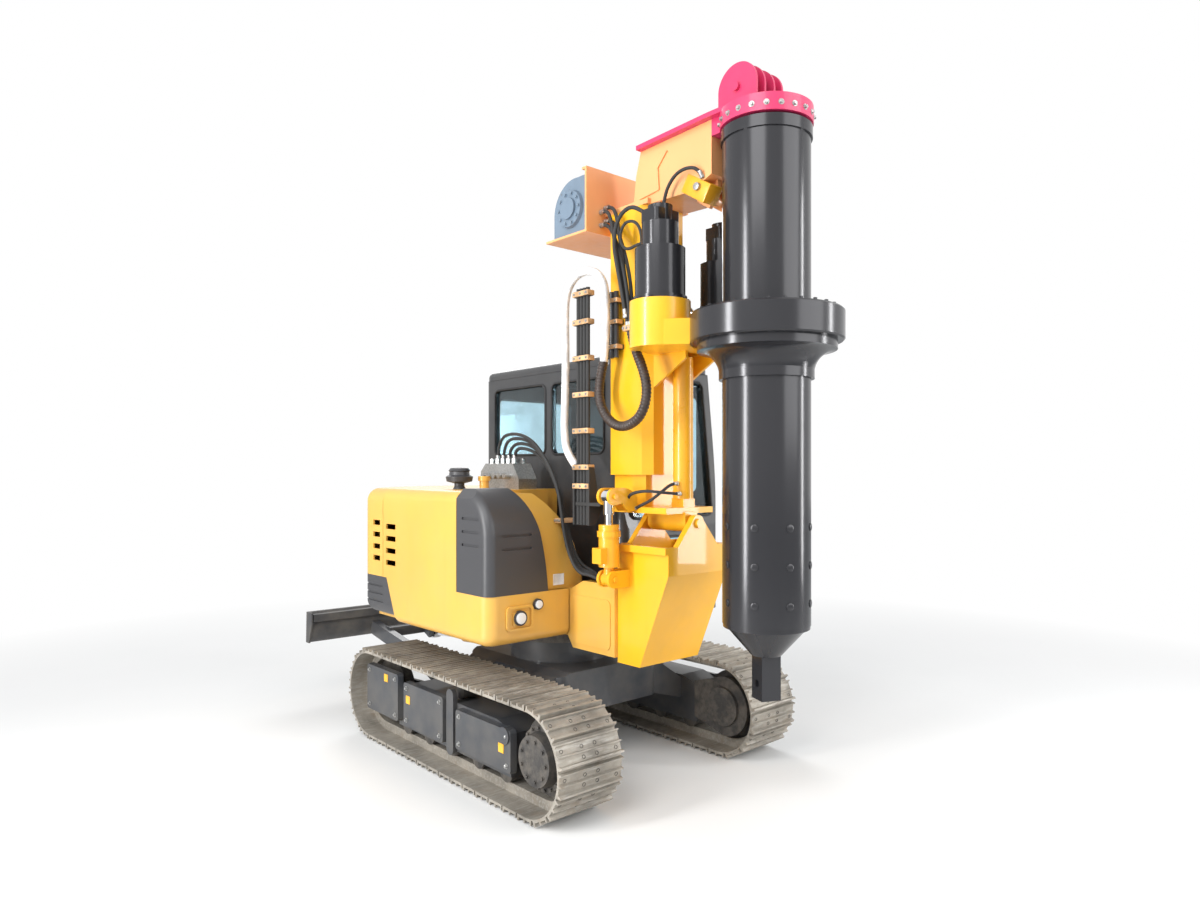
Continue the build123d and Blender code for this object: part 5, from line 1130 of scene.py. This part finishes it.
class RIG_OT_lamps(bpy.types.Operator):
    """Sets the work lamp and the round reflector into the skirt's front"""

    bl_idname = "rig.lamps"
    bl_label = "Lamp and reflector"

    def execute(self, context):
        for name, place, radius in LAMPS:
            bezel = drum(radius, 0.024, place, FRONT, 32)
            inset_faces(bezel, FRONT, (radius * 0.2, -0.008))
            bevelled(bezel, 0.0025)
            front = (place[0], place[1] - 0.015, place[2])
            glassy = drum(radius * 0.74, 0.012, front, FRONT, 32)
            inset_faces(glassy, FRONT, (radius * 0.25, 0.003), (radius * 0.2, 0.001))
            bpy.ops.object.shade_smooth_by_angle(angle=math.radians(50))
            dress(bezel, "cover_black")
            dress(glassy, "lamp_lens")
            fitted(joined([bezel, glassy]), name, "upper")
        return {"FINISHED"}


class RIG_OT_studio(bpy.types.Operator):
    """Adds the floor, the soft lights, the sky and the camera"""

    bl_idname = "rig.studio"
    bl_label = "Studio"

    def execute(self, context):
        deselect_all()
        reach = context.scene.rig_sizes.floor_reach
        bpy.ops.mesh.primitive_plane_add(size=2 * reach, location=(0, 0, -0.002))
        floor = context.object
        floor.name = "studio_floor"
        ground = Nodes("studio_floor")
        tone = tuple(context.scene.rig_colours.floor)
        patch = ground.spread(ground.noise(0.8, 4.0), 0.3, 0.7)
        ground.join(
            ground.blend(patch, scaled(tone, 0.97), tone), ground.shader.inputs["Base Color"]
        )
        ground.set(Roughness=0.9)
        far = ground.add("ShaderNodeVectorMath", operation="LENGTH")
        ground.join(ground.place, far.inputs[0])
        fade = context.scene.rig_sizes.floor_fade
        edge = ground.spread(far.outputs["Value"], fade, FLOOR_WHITE)
        rays = ground.add("ShaderNodeLightPath").outputs
        seen = ground.either(rays["Is Camera Ray"], rays["Is Transmission Ray"])
        white = ground.add("ShaderNodeEmission").outputs[0]
        whole = ground.mixed(ground.times(edge, seen), ground.shader.outputs[0], white)
        ground.join(whole, ground.output.inputs["Surface"])
        floor.data.materials.append(ground.material)
        for name, place, aim, width, height, power in LIGHTS:
            bpy.ops.object.light_add(type="AREA", location=place)
            lamp = context.object
            lamp.name = name
            lamp.data.shape = "RECTANGLE"
            lamp.data.size = width
            lamp.data.size_y = height
            lamp.data.energy = power
            lamp.visible_camera = False
            lamp.rotation_euler = (Vector(aim) - Vector(place)).to_track_quat("-Z", "Y").to_euler()
        world = bpy.data.worlds.new("studio_sky")
        world.use_nodes = True
        context.scene.world = world
        sky = Tree(world.node_tree)
        soft = sky.tree.nodes["Background"]
        soft.inputs["Color"].default_value = SKY_COLOUR
        soft.inputs["Strength"].default_value = SKY_STRENGTH
        white = sky.add("ShaderNodeBackground")
        white.inputs["Color"].default_value = (1.0, 1.0, 1.0, 1.0)
        white.inputs["Strength"].default_value = 1.0
        rays = sky.add("ShaderNodeLightPath").outputs
        seen = sky.either(rays["Is Camera Ray"], rays["Is Glossy Ray"])
        seen = sky.either(seen, rays["Is Transmission Ray"])
        whole = sky.mixed(seen, soft.outputs[0], white.outputs[0])
        sky.join(whole, sky.tree.nodes["World Output"].inputs[0])
        bpy.ops.object.camera_add(
            location=CAMERA_PLACE,
            rotation=(math.radians(90.0), 0.0, math.radians(CAMERA_HEADING)),
        )
        camera = context.object
        camera.name = "photo_camera"
        camera.data.sensor_width = 36.0
        camera.data.lens = CAMERA_LENS
        camera.data.shift_x, camera.data.shift_y = CAMERA_SHIFT
        context.scene.camera = camera
        context.scene.view_settings.view_transform = "Standard"
        return {"FINISHED"}


class RIG_OT_plates(bpy.types.Operator):
    """Adds the blank plates on the track covers and on the tank"""

    bl_idname = "rig.plates"
    bl_label = "Blank plates"

    def execute(self, context):
        plates = []
        for place in COVER_PLATES:
            plate = block((0.004, 0.052, 0.052), place, 0.0012)
            inset_faces(plate, RIGHT, (0.004, -0.001))
            dress(plate, "mast_paint")
            plates.append(plate)
        fitted(joined(plates), "blank_cover_plates", "undercarriage")
        label = block((0.085, 0.004, 0.070), (-0.345, -0.4015, 1.190), 0.0012)
        inset_faces(label, FRONT, (0.004, -0.001))
        fitted(label, "blank_tank_plate", "upper", "wrap_white")
        return {"FINISHED"}


class RIG_OT_head_latch(bpy.types.Operator):
    """Adds the latch and its pin under the head"""

    bl_idname = "rig.head_latch"
    bl_label = "Head latch"

    def execute(self, context):
        lug = block((0.11, 0.20, 0.11), (-0.100, -1.395, 3.455), 0.010)
        inset_faces(lug, DOWN, (0.022, -0.03))
        leaned(lug, math.radians(-32), (-0.1, -1.38, 3.47))
        dress(lug, "cylinder_paint")
        pin = drum(0.022, 0.15, (-0.175, -1.405, 3.450), LEFT, 20)
        dress(pin, "zinc_steel")
        fitted(joined([lug, bevelled(pin, 0.003)]), "head_latch", "sledge")
        return {"FINISHED"}


class RIG_OT_ring_tab(bpy.types.Operator):
    """Adds the small tab on the rim of the gear housing"""

    bl_idname = "rig.ring_tab"
    bl_label = "Ring tab"

    def execute(self, context):
        out = Vector(TAB_HEADING)
        tab = block((0.012, 0.05, 0.12), (0.0, 0.0, 0.0), 0.004)
        tab.rotation_euler = (0.0, 0.0, math.atan2(out.y, out.x))
        tab.location = Vector((0, KELLY_Y, TAB_HEIGHT)) + out * TAB_REACH
        dress(tab, "mast_paint")
        fitted(tab, "ring_tab", "sledge")
        return {"FINISHED"}


class RIG_OT_engine_fittings(bpy.types.Operator):
    """Adds the ribbed cover and the belt wheel to the engine block"""

    bl_idname = "rig.engine_fittings"
    bl_label = "Engine fittings"

    def execute(self, context):
        cover = block((0.66, 0.17, 0.055), (-0.080, 1.180, 1.566), 0.014)
        parts = [cover]
        for step in range(ENGINE_RIBS):
            place = (-0.36 + RIB_PITCH * step, 1.180, 1.598)
            parts.append(block((0.012, 0.15, 0.012), place, 0.003))
        for part in parts:
            dress(part, "engine_casting")
        wheel = drum(0.085, 0.03, (-0.531, 1.180, 1.20), RIGHT, 32)
        inset_faces(wheel, RIGHT, (0.02, -0.012), (0.03, 0.010))
        dress(wheel, "dark_casting")
        fitted(joined([*parts, wheel]), "engine_fittings", "upper")
        return {"FINISHED"}


OPERATORS = (
    RIG_OT_studio,
    RIG_OT_paint,
    RIG_OT_hoses,
    RIG_OT_clamps,
    RIG_OT_fasteners,
    RIG_OT_shoes,
    RIG_OT_weld_marks,
    RIG_OT_cab_trim,
    RIG_OT_seat,
    RIG_OT_lamps,
    RIG_OT_plates,
    RIG_OT_head_latch,
    RIG_OT_ring_tab,
    RIG_OT_engine_fittings,
)


class RIG_PT_panel(bpy.types.Panel):
    """Sizes, colours and making steps of the drilling rig"""

    bl_idname = "RIG_PT_panel"
    bl_label = "Drilling Rig"
    bl_space_type = "VIEW_3D"
    bl_region_type = "UI"
    bl_category = "Drilling Rig"

    def draw(self, context):
        for group in (context.scene.rig_sizes, context.scene.rig_colours):
            for key in group.bl_rna.properties.keys():
                if key not in ("rna_type", "name"):
                    self.layout.prop(group, key)
        for operator in OPERATORS:
            self.layout.operator(operator.bl_idname)


CLASSES = (RigColours, RigSizes, *OPERATORS, RIG_PT_panel)


def register():
    for cls in CLASSES:
        bpy.utils.register_class(cls)
    bpy.types.Scene.rig_colours = bpy.props.PointerProperty(type=RigColours)
    bpy.types.Scene.rig_sizes = bpy.props.PointerProperty(type=RigSizes)


def unregister():
    del bpy.types.Scene.rig_sizes
    del bpy.types.Scene.rig_colours
    for cls in reversed(CLASSES):
        bpy.utils.unregister_class(cls)


def main():
    """Registers the add-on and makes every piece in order."""
    register()
    for operator in OPERATORS:
        group, call = operator.bl_idname.split(".")
        getattr(getattr(bpy.ops, group), call)()


if __name__ == "__main__":
    main()
